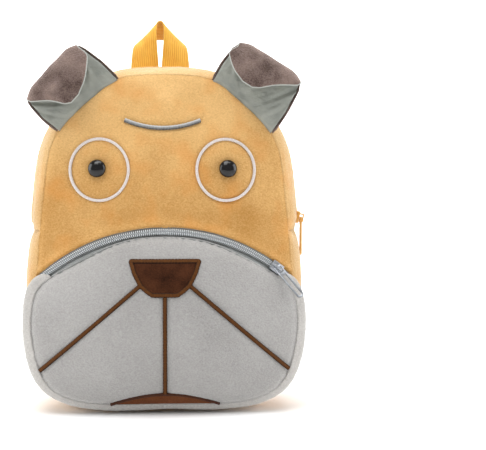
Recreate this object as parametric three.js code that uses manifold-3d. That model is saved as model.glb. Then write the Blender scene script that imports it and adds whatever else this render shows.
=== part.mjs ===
// A plush backpack for a small child, made in the form of a dog's head, standing on its flat base.
// Millimetres. +X is to the viewer's right, -Y is the face side, +Y is the wearer's side, +Z is up.
// The origin is on the floor, in the middle of the flat base.
import * as THREE from "three";
import { mergeVertices } from "three/addons/utils/BufferGeometryUtils.js";
import Module from "manifold-3d";

const wasm = await Module();
wasm.setup();

// Clearances between neighbouring pieces
const GAP = 0.3; // flat faces that touch on the real bag
const SEAM_GAP = 0.6; // curved edges sewn together
const RIM_GAP = 0.8; // the pocket panel's edge inside its rim
const FACE_TUCK = 0.72; // how far the panels' edges lie inside the gusset's, as shares of the wall
const BACK_TUCK = 0.92;

// Body
const SEAM_WIDTH = 195; // front and back panels, seam to seam, at their widest
const SEAM_TOP = 259; // height of the panels' top seam
const SEAM_BOTTOM = 6; // height of the panels' bottom seam
const GUSSET_DEPTH = 66; // front seam to back seam, at the base
const TOP_TAPER = 10; // how much narrower the gusset is at the top
const SIDE_BULGE = 10; // the gusset swells this far past the seams at the sides
const TOP_BULGE = 7;
const FACE_DOME = 12; // the face swells this far in front of its seam
const BACK_DOME = 5;
const WALL = 3; // plush, foam and lining together
const UPPER_STEPS = 28; // sections of the gusset above the zip's ends
const LOWER_STEPS = 30; // and below them
const BODY_MIDDLE = 135; // height of the point that the body's seam is measured around
const DOME_POWER = 2.6; // the higher, the flatter a panel's middle and the rounder its edge
const BULGE_POWER = 2.4;
const RING_CROWDING = 1.7; // the higher, the closer a panel's outer rings lie together

// Outline of the front and back panels: heights as shares of the panel's height, half widths as shares of
// half its width
const BODY_OUTLINE = [
  { height: 1.0, half: 0.0 },
  { height: 0.983, half: 0.4 },
  { height: 0.928, half: 0.6 },
  { height: 0.854, half: 0.8 },
  { height: 0.778, half: 0.9 },
  { height: 0.612, half: 0.962 },
  { height: 0.43, half: 1.0 },
  { height: 0.26, half: 1.008 },
  { height: 0.14, half: 0.98 },
  { height: 0.07, half: 0.895 },
  { height: 0.02, half: 0.71 },
  { height: 0.0, half: 0.42 },
  { height: 0.0, half: 0.0 },
];

// Main zip, over the top of the gusset
const MAIN_ZIP_END = 138; // height where the zip's slot meets the lower gusset
const MAIN_ZIP_BAND = 15; // width of tape that shows between the two gusset strips
const ZIP_PINCH = 0.35; // share of the bulge lost at the seam across the gusset
const ZIP_PINCH_REACH = 8;
const MAIN_SLIDER_AT = 7; // degrees above the body's middle
const ZIP_SUNK = 1; // the main zip's tape lies this far below the plush

// Front pocket, the dog's muzzle
const POCKET_WIDTH = 203;
const POCKET_TOP = 129.5;
const POCKET_BOTTOM = 7;
const POCKET_DEPTH = 14; // from the front seam to the pocket panel's seam
const POCKET_DOME = 18;
const POCKET_LIP = 5; // the pocket's mouth stands this far in front of the face
const POCKET_MIDDLE = 60; // height of the point that the pocket's seam is measured around
const RIM_STEPS = 32;
const MOUTH_STEPS = 20;
const RIM_BELOW_ZIP = 1.6; // degrees between the zip's end and the rim's
const MOUTH_BLEND = 30; // degrees above the pocket's middle where its edge has drawn back to its mouth
const POCKET_POWER = 3;
const RIM_WALL = 2.4;
const RIM_SIDE_BULGE = 8;
const RIM_BASE_BULGE = 4;

// Outline of the pocket panel: heights as shares of its height, half widths as shares of half its width
const POCKET_OUTLINE = [
  { height: 1.0, half: 0.0 },
  { height: 0.988, half: 0.25 },
  { height: 0.96, half: 0.4 },
  { height: 0.9, half: 0.58 },
  { height: 0.825, half: 0.77 },
  { height: 0.765, half: 0.885 },
  { height: 0.69, half: 0.965 },
  { height: 0.52, half: 1.0 },
  { height: 0.385, half: 0.987 },
  { height: 0.255, half: 0.953 },
  { height: 0.16, half: 0.905 },
  { height: 0.09, half: 0.835 },
  { height: 0.03, half: 0.69 },
  { height: 0.0, half: 0.45 },
  { height: 0.0, half: 0.0 },
];

// Zips: a coil on two woven tapes
const COIL_WIDTH = 5;
const COIL_HEIGHT = 2.2;
const TAPE_THICKNESS = 1;
const POCKET_COIL_APEX = 137.4; // height of the middle of the pocket's zip
const POCKET_COIL_SAG = 32; // how much lower its ends are
const POCKET_COIL_HALF = 90; // half the distance between its ends
const UPPER_TAPE_SHOWS = 2.6;
const ZIP_START = 27.2; // degrees above the pocket's middle where the coil starts

// Zip sliders and pulls
const SLIDER_LENGTH = 9.5;
const SLIDER_PLATE = 1.3;
const FLANGE = 1.1;
const SLIDER_ROOM = 1.8; // the lower tape stays flat this far beyond the slider's flange
const BRIDGE_WIDTH = 1.8;
const BRIDGE_REACH = 0.37; // half its length, as a share of the slider's
const BRIDGE_BAR = 1.2;
const PIVOT_CLEARANCE = 0.5;
const PULL_LENGTH = 30;
const PULL_WIDTH = 5.6;
const PULL_THICKNESS = 1.6;
const PULL_RAIL = 1.3;
const PULL_EYE = 5.6; // from the pivot to the far end of the eye round the bridge
const PULL_BAR = 2.2; // between the eye and the long slot
const POCKET_SLIDER_AT = 30.4; // degrees above the pocket's middle
const POCKET_PULL_DROP = 56; // degrees below the horizontal
const POCKET_PULL_TILT = 28; // degrees that the rim holds it off the face

// Face
const FACE_SHIFT = -1.7; // the face is sewn a little to the left of the middle
const EYE_HEIGHT = 185.3;
const EYE_SPACING = 99.4; // between the buttons
const EYE_RADIUS = 6.4;
const EYE_DOME = 4.6;
const EYE_PROFILE = [
  { radius: 0, height: 0 },
  { radius: 0.95, height: 0 },
  { radius: 1, height: 0.16 },
  { radius: 0.95, height: 0.4 },
  { radius: 0.78, height: 0.68 },
  { radius: 0.45, height: 0.93 },
  { radius: 0, height: 1 },
];
const RING_INSET = 1.5; // a ring's middle lies this far inside its button
const RING_DROP = 0.7; // and this far below it
const RING_HALF_WIDTH = 22.2;
const RING_HALF_HEIGHT = 24;
const RING_LINE = 2.4;
const BROW_HALF = 28.8;
const BROW_HEIGHT = 222.5;
const BROW_SAG = 6;
const BROW_LINE = 3;
const STITCH_HEIGHT = 0.8; // satin stitch stands this proud
const SEWN_GAP = 0.4; // stitches and patches lie this far off the panel
const LINE_WIDTH = 3.1;
const NOSE_WIDTH = 54;
const NOSE_TOP = 117.4;
const NOSE_HEIGHT = 28;
const NOSE_THICKNESS = 1.1;
const NOSE_SHAPE = [
  { drop: 0, half: 1 },
  { drop: 0.35, half: 0.9 },
  { drop: 0.72, half: 0.73 },
  { drop: 0.9, half: 0.54 },
  { drop: 1, half: 0.4 },
];
const NOSE_LINE_SHARE = 0.76; // how far down the nose the slanting lines start
const CHEEK_END_HALF = 94;
const CHEEK_END_HEIGHT = 33.5;
const MOUTH_HALF = 41;
const MOUTH_RISE = 8.5;
const MOUTH_CUT = 0.94; // the crescent's tips are cut off here

// Ears
const EAR_BASE = 62; // along the seam
const EAR_CENTRE_ANGLE = 58.7; // degrees around the body's centre, from the horizontal
const EAR_STAND = 25; // from the seam to the start of the fold
const EAR_FOLD_RADIUS = 6;
const EAR_FLAP = 26.5; // from the fold to the tip
const EAR_FLAP_SPREAD = 24; // degrees that the flap stands away from the upright part
const EAR_PLUSH = 2;
const EAR_LINING = 1.2;
// Half widths as shares of half the base, and how far the middle moves down the seam. along is 0 at the seam,
// 1 and 2 at the start and the end of the fold, and 3 at the tip.
const EAR_WIDTHS = [
  { along: 0, half: 1, shift: 0 },
  { along: 1.21, half: 0.92, shift: 0 },
  { along: 2, half: 0.9, shift: 0 },
  { along: 2.16, half: 0.82, shift: -0.07 },
  { along: 2.35, half: 0.744, shift: -0.14 },
  { along: 2.5, half: 0.63, shift: -0.12 },
  { along: 2.69, half: 0.49, shift: -0.06 },
  { along: 2.79, half: 0.41, shift: -0.02 },
  { along: 2.89, half: 0.32, shift: 0.04 },
  { along: 3, half: 0.1, shift: 0.11 },
];
// lean: degrees outwards from square to the seam; stand and flap: shares of the lengths above; sweep: how much
// further the tip moves down the seam
const EARS = [
  { name: "left", side: -1, lean: 8, stand: 1, flap: 1, sweep: 0 },
  { name: "right", side: 1, lean: -8, stand: 1.14, flap: 0.88, sweep: -0.3 },
];

// Webbing, carry loop, shoulder straps and buckles
const WEB_WIDTH = 25;
const WEB_THICKNESS = 1.2;
const LOOP_HALF = 24; // from its middle to its outer edges
const LOOP_SHIFT = -4;
const LOOP_HEIGHT = 49; // apex above the top seam
const LOOP_TAIL = 4; // its ends run this far below the top seam
const LOOP_BEHIND = 1.4; // its legs stand this far behind the back seam
// Half of the loop, from the seam to the middle of its crown. Each row gives a place on its inner and its outer
// edge: out and back as shares of LOOP_HALF, down from the apex as a share of LOOP_HEIGHT
const LOOP_EDGES = [
  { innerOut: 0.03, innerBack: 0, innerDown: 1, outerOut: 1, outerBack: 0, outerDown: 1 },
  { innerOut: 0.05, innerBack: 0, innerDown: 0.75, outerOut: 0.99, outerBack: 0.02, outerDown: 0.77 },
  { innerOut: 0.09, innerBack: 0, innerDown: 0.5, outerOut: 0.96, outerBack: 0.08, outerDown: 0.6 },
  { innerOut: 0.12, innerBack: 0.02, innerDown: 0.28, outerOut: 0.92, outerBack: 0.2, outerDown: 0.47 },
  { innerOut: 0.12, innerBack: 0.05, innerDown: 0.12, outerOut: 0.84, outerBack: 0.36, outerDown: 0.39 },
  { innerOut: 0.09, innerBack: 0.09, innerDown: 0.035, outerOut: 0.67, outerBack: 0.58, outerDown: 0.325 },
  { innerOut: 0.05, innerBack: 0.11, innerDown: 0.008, outerOut: 0.35, outerBack: 0.76, outerDown: 0.28 },
  { innerOut: 0, innerBack: 0.12, innerDown: 0, outerOut: 0, outerBack: 0.82, outerDown: 0.266 },
];
const STRAP_WIDTH = 50;
const STRAP_THICKNESS = 8;
const STRAP_STAND = 28; // the straps' middles stand at most this far behind the back seam
const STRAP_SPACING = 53; // between the straps' middles at the top
const STRAP_BOTTOM = 48;
const STRAP_CORNER = 7;
const STRAP_EDGE_SHARE = 0.45; // the strap's thickness at its sewn edges
const STRAP_ROWS = 20;
const STRAP_COLUMNS = 4;
// Side view of a strap: how far its middle lies behind the back seam, as a share of STRAP_STAND, and its height
// as a share of the top seam's
const STRAP_ROUTE = [
  { behind: 0.104, height: 0.997 },
  { behind: 0.286, height: 1.004 },
  { behind: 0.518, height: 1.001 },
  { behind: 0.732, height: 0.98 },
  { behind: 0.875, height: 0.94 },
  { behind: 0.957, height: 0.865 },
  { behind: 1, height: 0.74 },
  { behind: 0.986, height: 0.6 },
  { behind: 0.904, height: 0.46 },
  { behind: 0.768, height: 0.34 },
  { behind: 0.607, height: 0.245 },
];
// How far each strap leans outwards, and how much further its buckle is turned, in degrees
const HARNESSES = [
  { name: "left", side: -1, lean: 4, turn: 9 },
  { name: "right", side: 1, lean: 5.7, turn: 0 },
];
const BUCKLE_WIDTH = 32;
const BUCKLE_THICKNESS = 3;
const BUCKLE_BEHIND = 13.5; // its middle plane behind the back seam
const BUCKLE_SIDE = 2.9;
const BUCKLE_CORNER = 3;
const TOP_BAR = 5.5;
const BUCKLE_WINDOW = 9.5;
const MIDDLE_BAR = 5;
const LOWER_SLOT = 3.6;
const BUCKLE_TAB = 12.5;
const TAB_FULLNESS = 0.85; // where the tab's curve is drawn to, as shares of half its width
const TAB_ROUNDNESS = 0.45;
const STUB_SHOWS = 3.6; // webbing between the strap's end and the buckle
const TAIL_CLEAR = 6; // the webbing's free end stops this far above the floor
const WEB_START_BEHIND = 1.2; // where the lower webbing leaves the bottom seam
const WEB_START_HEIGHT = 9;

const degrees = THREE.MathUtils.degToRad;
const mix = THREE.MathUtils.lerp;
const smoothstep = THREE.MathUtils.smoothstep;
const vec = (x, y, z) => new THREE.Vector3(x, y, z);
const steps = (count) => Array.from({ length: count + 1 }, (_, i) => i / count);

const material = (color, roughness, metalness = 0) =>
  new THREE.MeshStandardMaterial({ color, roughness, metalness });
const YELLOW_PLUSH = material(0xe0ae62, 0.95);
const GREY_PLUSH = material(0xc4c2c2, 0.95);
const BROWN_PLUSH = material(0x75666a, 0.95);
const NOSE_PLUSH = material(0x4a2310, 0.9);
const BROWN_THREAD = material(0x5c3216, 0.6);
const WHITE_THREAD = material(0xe2dde2, 0.5);
const GREY_THREAD = material(0x8b8f8f, 0.5);
const GREY_SATIN = material(0x9aa29e, 0.7);
const GREY_TAPE = material(0x8f9799, 0.8);
const GREY_COIL = material(0xb9c2c8, 0.4);
const YELLOW_TAPE = material(0xd99a3c, 0.8);
const YELLOW_WEBBING = material(0xe0a336, 0.8);
const BLACK_BUTTON = material(0x0d0c0d, 0.1);
const GREY_METAL = material(0xbcc3c9, 0.35, 0.7);
const YELLOW_METAL = material(0xd9983a, 0.4, 0.3);
const KHAKI_PLASTIC = material(0xa59c7c, 0.45);

const bag = new THREE.Group();

function piece(name, geometry, finish, parent = bag) {
  const mesh = new THREE.Mesh(geometry, finish);
  mesh.name = name;
  parent.add(mesh);
  return mesh;
}

// Closed outlines and the radius of one around a point inside it
function closedOutline(rows, width, bottom, top) {
  const right = rows.map((row) =>
    vec((row.half * width) / 2, 0, mix(bottom, top, row.height)),
  );
  const left = right.slice(1, -1).reverse();
  const points = [...right, ...left.map((p) => vec(-p.x, 0, p.z))];
  return new THREE.CatmullRomCurve3(points, true, "centripetal").getSpacedPoints(720);
}

function radiusAround(points, centre) {
  const full = 2 * Math.PI;
  const turn = (angle) => ((angle % full) + full) % full;
  const polar = points
    .map((p) => ({
      angle: turn(Math.atan2(p.z - centre.z, p.x - centre.x)),
      radius: Math.hypot(p.z - centre.z, p.x - centre.x),
    }))
    .sort((a, b) => a.angle - b.angle);
  const first = polar[0];
  const last = polar[polar.length - 1];
  polar.unshift({ angle: last.angle - full, radius: last.radius });
  polar.push({ angle: first.angle + full, radius: first.radius });
  return (angle) => {
    const wanted = turn(angle);
    const next = polar.findIndex((p) => p.angle > wanted);
    const a = polar[next - 1];
    const b = polar[next];
    return mix(a.radius, b.radius, (wanted - a.angle) / (b.angle - a.angle || 1));
  };
}

// A closed solid between two offsets of a grid of points. ring joins the last row to the first, and pole says
// that the first column is a single point. low and high are offsets along the normal that faces the given way.
function sheetSolid(grid, low, high, facing, { ring = false, pole = false } = {}) {
  const rows = grid.length;
  const columns = grid[0].length;
  const row = (i) => (ring ? (i + rows) % rows : THREE.MathUtils.clamp(i, 0, rows - 1));
  const column = (j) => THREE.MathUtils.clamp(j, 0, columns - 1);
  const normalAt = (i, j) => {
    const along = grid[row(i + 1)][j].clone().sub(grid[row(i - 1)][j]);
    const across = grid[i][column(j + 1)].clone().sub(grid[i][column(j - 1)]);
    return along.cross(across).normalize();
  };
  const middle = normalAt(Math.floor(rows / 2), Math.floor(columns / 2));
  const sign = Math.sign(middle.dot(facing)) || 1;
  const normals = grid.map((line, i) => line.map((_, j) => normalAt(i, pole ? Math.max(j, 1) : j)));
  if (pole) {
    const centre = normals.reduce((sum, line) => sum.add(line[1]), vec(0, 0, 0)).normalize();
    normals.forEach((line) => (line[0] = centre));
  }
  const positions = [];
  const surface = (offset) => {
    const at = typeof offset === "function" ? offset : () => offset;
    return grid.map((line, i) =>
      line.map((p, j) => {
        positions.push(...p.clone().addScaledVector(normals[i][j], sign * at(i, j)).toArray());
        return positions.length / 3 - 1;
      }),
    );
  };
  const top = surface(high);
  const base = surface(low);
  if (pole) {
    top.forEach((line) => (line[0] = top[0][0]));
    base.forEach((line) => (line[0] = base[0][0]));
  }
  const faces = [];
  const face = (a, b, c) => {
    if (a !== b && b !== c && c !== a) faces.push([a, b, c]);
  };
  const quad = (a, b, c, d) => {
    face(a, b, c);
    face(a, c, d);
  };
  const lines = ring ? rows : rows - 1;
  for (let i = 0; i < lines; i++) {
    const k = row(i + 1);
    for (let j = 0; j < columns - 1; j++) {
      quad(top[i][j], top[k][j], top[k][j + 1], top[i][j + 1]);
      quad(base[i][j], base[i][j + 1], base[k][j + 1], base[k][j]);
    }
    const end = columns - 1;
    quad(top[i][end], top[k][end], base[k][end], base[i][end]);
    if (!pole) quad(top[k][0], top[i][0], base[i][0], base[k][0]);
  }
  if (!ring)
    for (let j = 0; j < columns - 1; j++) {
      const end = rows - 1;
      quad(top[0][j], top[0][j + 1], base[0][j + 1], base[0][j]);
      quad(top[end][j + 1], top[end][j], base[end][j], base[end][j + 1]);
    }
  const corner = (index) => vec(...positions.slice(3 * index, 3 * index + 3));
  const volume = faces.reduce(
    (sum, [a, b, c]) => sum + corner(a).dot(corner(b).cross(corner(c))),
    0,
  );
  if (volume < 0) faces.forEach((f) => f.reverse());
  const geometry = new THREE.BufferGeometry();
  geometry.setAttribute("position", new THREE.Float32BufferAttribute(positions, 3));
  geometry.setIndex(faces.flat());
  geometry.computeVertexNormals();
  return geometry;
}

// Joins several closed geometries into one solid
function joined(geometries) {
  const solids = geometries.map((geometry) => {
    const bare = geometry.clone();
    bare.deleteAttribute("normal");
    bare.deleteAttribute("uv");
    const merged = mergeVertices(bare, 1e-4);
    return new wasm.Manifold(
      new wasm.Mesh({
        numProp: 3,
        vertProperties: merged.attributes.position.array,
        triVerts: new Uint32Array(merged.index.array),
      }),
    );
  });
  const mesh = solids.reduce((whole, solid) => whole.add(solid)).getMesh();
  const geometry = new THREE.BufferGeometry();
  geometry.setAttribute("position", new THREE.BufferAttribute(mesh.vertProperties, 3));
  geometry.setIndex(new THREE.BufferAttribute(mesh.triVerts, 1));
  geometry.computeVertexNormals();
  return geometry;
}

// Reads a short table of rows at a share between its first and last row
function fromTable(rows, key, value, at) {
  const next = rows.findIndex((row) => row[key] >= at);
  if (next < 0) return rows[rows.length - 1][value];
  if (next === 0) return rows[0][value];
  const a = rows[next - 1];
  const b = rows[next];
  return mix(a[value], b[value], (at - a[key]) / (b[key] - a[key]));
}

// The body's seams and the surfaces of its panels
const bodyCentre = { x: 0, z: BODY_MIDDLE };
const backSeamY = GUSSET_DEPTH / 2;
const frontSeamY = (z) => -GUSSET_DEPTH / 2 + (TOP_TAPER * z) / SEAM_TOP;
const bodyOutline = closedOutline(BODY_OUTLINE, SEAM_WIDTH, SEAM_BOTTOM, SEAM_TOP);
const bodyRadius = radiusAround(bodyOutline, bodyCentre);
const seamPoint = (angle, inset = 0) => ({
  x: bodyCentre.x + (bodyRadius(angle) - inset) * Math.cos(angle),
  z: bodyCentre.z + (bodyRadius(angle) - inset) * Math.sin(angle),
});

function seamNormal(angle) {
  const step = degrees(1.5);
  const a = seamPoint(angle - step);
  const b = seamPoint(angle + step);
  const length = Math.hypot(b.x - a.x, b.z - a.z);
  return { x: (b.z - a.z) / length, z: -(b.x - a.x) / length };
}

function shareOfBody(x, z) {
  const dx = x - bodyCentre.x;
  const dz = z - bodyCentre.z;
  return Math.min(1, Math.hypot(dx, dz) / bodyRadius(Math.atan2(dz, dx)));
}

const faceY = (x, z) => frontSeamY(z) - FACE_DOME * (1 - shareOfBody(x, z) ** DOME_POWER);
const backY = (x, z) => backSeamY + BACK_DOME * (1 - shareOfBody(x, z) ** DOME_POWER);

// A point of the gusset: angle runs round the seam, across runs from the front seam at 0 to the back seam at 1
function gussetPoint(angle, across, lift = 0) {
  const seam = seamPoint(angle);
  const normal = seamNormal(angle);
  const fromSeam = Math.abs(seam.z - MAIN_ZIP_END) / ZIP_PINCH_REACH;
  const pinch = 1 - ZIP_PINCH * Math.exp(-(fromSeam ** 2));
  const fullness = mix(SIDE_BULGE, TOP_BULGE, Math.max(0, normal.z)) * pinch;
  const bulge = fullness * (1 - Math.abs(2 * across - 1) ** BULGE_POWER) + lift;
  const z = Math.max(0, seam.z + normal.z * bulge);
  return vec(seam.x + normal.x * bulge, mix(frontSeamY(seam.z), backSeamY, across), z);
}

// Rings of a round panel lie closer together towards its edge, where it curves most
const ringShares = (count) => steps(count).map((t) => 1 - (1 - t) ** RING_CROWDING);
const aroundFully = (sides) => steps(sides).slice(0, -1).map((t) => 2 * Math.PI * t);
const between = (from, to, count) => steps(count).map((t) => mix(from, to, t));
const zipEnd = Math.asin((MAIN_ZIP_END - bodyCentre.z) / bodyRadius(0));

function bodyPanel(depth, rings, facing, tuck) {
  const upper = between(zipEnd, Math.PI - zipEnd, UPPER_STEPS);
  const lower = between(-Math.PI - zipEnd, zipEnd, LOWER_STEPS);
  const grid = [...upper.slice(0, -1), ...lower.slice(0, -1)].map((angle) =>
    ringShares(rings).map((share) => {
      const inset = WALL * tuck + SEAM_GAP;
      const radius = (bodyRadius(angle) - inset) * share;
      const x = bodyCentre.x + radius * Math.cos(angle);
      const z = bodyCentre.z + radius * Math.sin(angle);
      return vec(x, depth(x, z), z);
    }),
  );
  return sheetSolid(grid, -WALL, 0, facing, { ring: true, pole: true });
}

function buildBody() {
  piece("face_panel", bodyPanel(faceY, 5, vec(0, -1, 0), FACE_TUCK), YELLOW_PLUSH);
  piece("back_panel", bodyPanel(backY, 3, vec(0, 1, 0), BACK_TUCK), YELLOW_PLUSH);
  const endGap = GAP / bodyRadius(0) / 2;
  const lower = between(zipEnd - endGap, -Math.PI - zipEnd + endGap, LOWER_STEPS);
  const upper = between(zipEnd + endGap, Math.PI - zipEnd - endGap, UPPER_STEPS);
  const strip = (angles, from, to, columns) =>
    angles.map((angle) => between(from, to, columns).map((across) => gussetPoint(angle, across)));
  const up = vec(0, 0, 1);
  piece("gusset_lower", sheetSolid(strip(lower, 0, 1, 6), -WALL, 0, vec(0, 0, -1)), YELLOW_PLUSH);
  const band = MAIN_ZIP_BAND / 2 / GUSSET_DEPTH;
  const gap = SEAM_GAP / GUSSET_DEPTH;
  const coil = COIL_WIDTH / 2 / GUSSET_DEPTH;
  const front = strip(upper, 0, 0.5 - band, 2);
  const rear = strip(upper, 0.5 + band, 1, 2);
  piece("gusset_top_front", sheetSolid(front, -WALL, 0, up), YELLOW_PLUSH);
  piece("gusset_top_rear", sheetSolid(rear, -WALL, 0, up), YELLOW_PLUSH);
  const tape = strip(upper, 0.5 - band + gap, 0.5 + band - gap, 1);
  piece("main_zip_tape", sheetSolid(tape, -ZIP_SUNK - TAPE_THICKNESS, -ZIP_SUNK, up), YELLOW_TAPE);
  const teeth = strip(upper.slice(1, -1), 0.5 - coil, 0.5 + coil, 1);
  const foot = GAP - ZIP_SUNK;
  piece("main_zip_coil", sheetSolid(teeth, foot, foot + COIL_HEIGHT, up), YELLOW_TAPE);
}

// The pocket's outline, mouth and surface
const pocketCentre = { x: 0, z: POCKET_MIDDLE };
const pocketOutline = closedOutline(POCKET_OUTLINE, POCKET_WIDTH, POCKET_BOTTOM, POCKET_TOP);
const pocketRadius = radiusAround(pocketOutline, pocketCentre);
const seamAroundPocket = radiusAround(bodyOutline, pocketCentre);
const coilArcRadius = (POCKET_COIL_HALF ** 2 + POCKET_COIL_SAG ** 2) / (2 * POCKET_COIL_SAG);

function coilRadius(angle) {
  const drop = pocketCentre.z - (POCKET_COIL_APEX - coilArcRadius);
  const half = drop * Math.sin(angle);
  return Math.sqrt(half ** 2 + coilArcRadius ** 2 - drop ** 2) - half;
}

const aroundPocket = (angle, radius) => ({
  x: pocketCentre.x + radius * Math.cos(angle),
  z: pocketCentre.z + radius * Math.sin(angle),
});

function pocketEdgeY(angle) {
  const { x, z } = aroundPocket(angle, pocketRadius(angle));
  const side = frontSeamY(z) - POCKET_DEPTH;
  const mouth = faceY(x, z) - POCKET_LIP;
  const rise = THREE.MathUtils.radToDeg(Math.asin(Math.sin(angle)));
  return mix(side, mouth, smoothstep(rise, 0, MOUTH_BLEND));
}

function pocketY(x, z) {
  const dx = x - pocketCentre.x;
  const dz = z - pocketCentre.z;
  const angle = Math.atan2(dz, dx);
  const share = Math.min(1, Math.hypot(dx, dz) / pocketRadius(angle));
  const crown = frontSeamY(pocketCentre.z) - POCKET_DEPTH - POCKET_DOME;
  return mix(crown, pocketEdgeY(angle), share ** POCKET_POWER);
}

function buildPocket() {
  const forward = vec(0, -1, 0);
  const start = degrees(ZIP_START);
  const rimStart = start - degrees(RIM_BELOW_ZIP);
  const rimAngles = between(rimStart, -Math.PI - rimStart, RIM_STEPS);
  const zipAngles = between(start, Math.PI - start, MOUTH_STEPS);
  const panelAngles = [...rimAngles.slice(1, -1).reverse(), ...zipAngles];
  const panel = panelAngles.map((angle) =>
    ringShares(5).map((share) => {
      const { x, z } = aroundPocket(angle, (pocketRadius(angle) - RIM_GAP) * share);
      return vec(x, pocketY(x, z), z);
    }),
  );
  piece("pocket_panel", sheetSolid(panel, -WALL, 0, forward, { ring: true, pole: true }), GREY_PLUSH);

  const rim = rimAngles.map((angle) =>
    steps(4).map((t) => {
      const bulge = mix(RIM_BASE_BULGE, RIM_SIDE_BULGE, Math.cos(angle) ** 2) * (1 - (2 * t - 1) ** 2);
      const radius = mix(seamAroundPocket(angle), pocketRadius(angle), t) + bulge;
      const { x, z } = aroundPocket(angle, radius);
      return vec(x, mix(frontSeamY(z) - GAP, pocketEdgeY(angle), t), z);
    }),
  );
  piece("pocket_rim", sheetSolid(rim, -RIM_WALL, 0, vec(0, 0, -1)), GREY_PLUSH);

  const onFace = (angle, radius) => {
    const { x, z } = aroundPocket(angle, radius);
    return vec(x, faceY(x, z), z);
  };
  const half = COIL_WIDTH / 2;
  const coil = zipAngles.map((angle) =>
    [-half, half].map((offset) => onFace(angle, coilRadius(angle) + offset)),
  );
  piece("pocket_zip_coil", sheetSolid(coil, GAP, GAP + COIL_HEIGHT, forward), GREY_COIL);
  const above = half + GAP;
  const upper = zipAngles.map((angle) =>
    [above, above + UPPER_TAPE_SHOWS].map((offset) => onFace(angle, coilRadius(angle) + offset)),
  );
  piece("pocket_zip_tape_upper", sheetSolid(upper, GAP, GAP + TAPE_THICKNESS, forward), GREY_TAPE);
  const lower = zipAngles.map((angle) => {
    const top = onFace(angle, coilRadius(angle) - above);
    const flat = onFace(angle, coilRadius(angle) - above - FLANGE - SLIDER_ROOM);
    const edge = aroundPocket(angle, pocketRadius(angle) - SEAM_GAP);
    const bottom = vec(edge.x, pocketEdgeY(angle) + TAPE_THICKNESS, edge.z);
    return [top, flat, bottom];
  });
  piece("pocket_zip_tape_lower", sheetSolid(lower, GAP, GAP + TAPE_THICKNESS, forward), GREY_TAPE);
}

// Embroidery and patches lie on a panel and follow it
function stitchedLine(depth, points, width, ring = false) {
  const count = points.length;
  const near = (i) => points[ring ? (i + count) % count : THREE.MathUtils.clamp(i, 0, count - 1)];
  const grid = points.map((p, i) => {
    const dx = near(i + 1).x - near(i - 1).x;
    const dz = near(i + 1).z - near(i - 1).z;
    const length = Math.hypot(dx, dz);
    return [-0.5, 0.5].map((side) => {
      const x = p.x + (side * width * dz) / length;
      const z = p.z - (side * width * dx) / length;
      return vec(x, depth(x, z), z);
    });
  });
  return sheetSolid(grid, SEWN_GAP, SEWN_GAP + STITCH_HEIGHT, vec(0, -1, 0), { ring });
}

function surfaceNormal(depth, x, z) {
  const step = 1;
  const acrossX = vec(2 * step, depth(x + step, z) - depth(x - step, z), 0);
  const acrossZ = vec(0, depth(x, z + step) - depth(x, z - step), 2 * step);
  return acrossX.cross(acrossZ).normalize();
}

function buildEyes() {
  const profile = EYE_PROFILE.map(
    ({ radius, height }) => new THREE.Vector2(radius * EYE_RADIUS, height * EYE_DOME),
  );
  for (const [name, side] of [["left", -1], ["right", 1]]) {
    const ringX = FACE_SHIFT + side * (EYE_SPACING / 2 - RING_INSET);
    const ringZ = EYE_HEIGHT - RING_DROP;
    const ring = aroundFully(28).map((angle) => ({
      x: ringX + RING_HALF_WIDTH * Math.cos(angle),
      z: ringZ + RING_HALF_HEIGHT * Math.sin(angle),
    }));
    piece("eye_ring_" + name, stitchedLine(faceY, ring, RING_LINE, true), WHITE_THREAD);
    const x = FACE_SHIFT + (side * EYE_SPACING) / 2;
    const normal = surfaceNormal(faceY, x, EYE_HEIGHT);
    const button = piece("eye_button_" + name, new THREE.LatheGeometry(profile, 20), BLACK_BUTTON);
    button.quaternion.setFromUnitVectors(vec(0, 1, 0), normal);
    button.position.set(x, faceY(x, EYE_HEIGHT), EYE_HEIGHT).addScaledVector(normal, GAP);
  }
  const brow = steps(10).map((t) => {
    const share = 2 * t - 1;
    return { x: FACE_SHIFT + BROW_HALF * share, z: BROW_HEIGHT - BROW_SAG * (1 - share ** 2) };
  });
  piece("brow_line", stitchedLine(faceY, brow, BROW_LINE), GREY_THREAD);
}

// A patch is a grid of rows from its top to its bottom, each from its left edge to its right edge
function patch(rows, thickness) {
  const grid = rows.map(({ half, z }) =>
    steps(8).map((t) => {
      const x = mix(-half, half, t);
      const height = typeof z === "function" ? z(x) : z;
      return vec(x, pocketY(x, height), height);
    }),
  );
  return sheetSolid(grid, SEWN_GAP, SEWN_GAP + thickness, vec(0, -1, 0));
}

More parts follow.
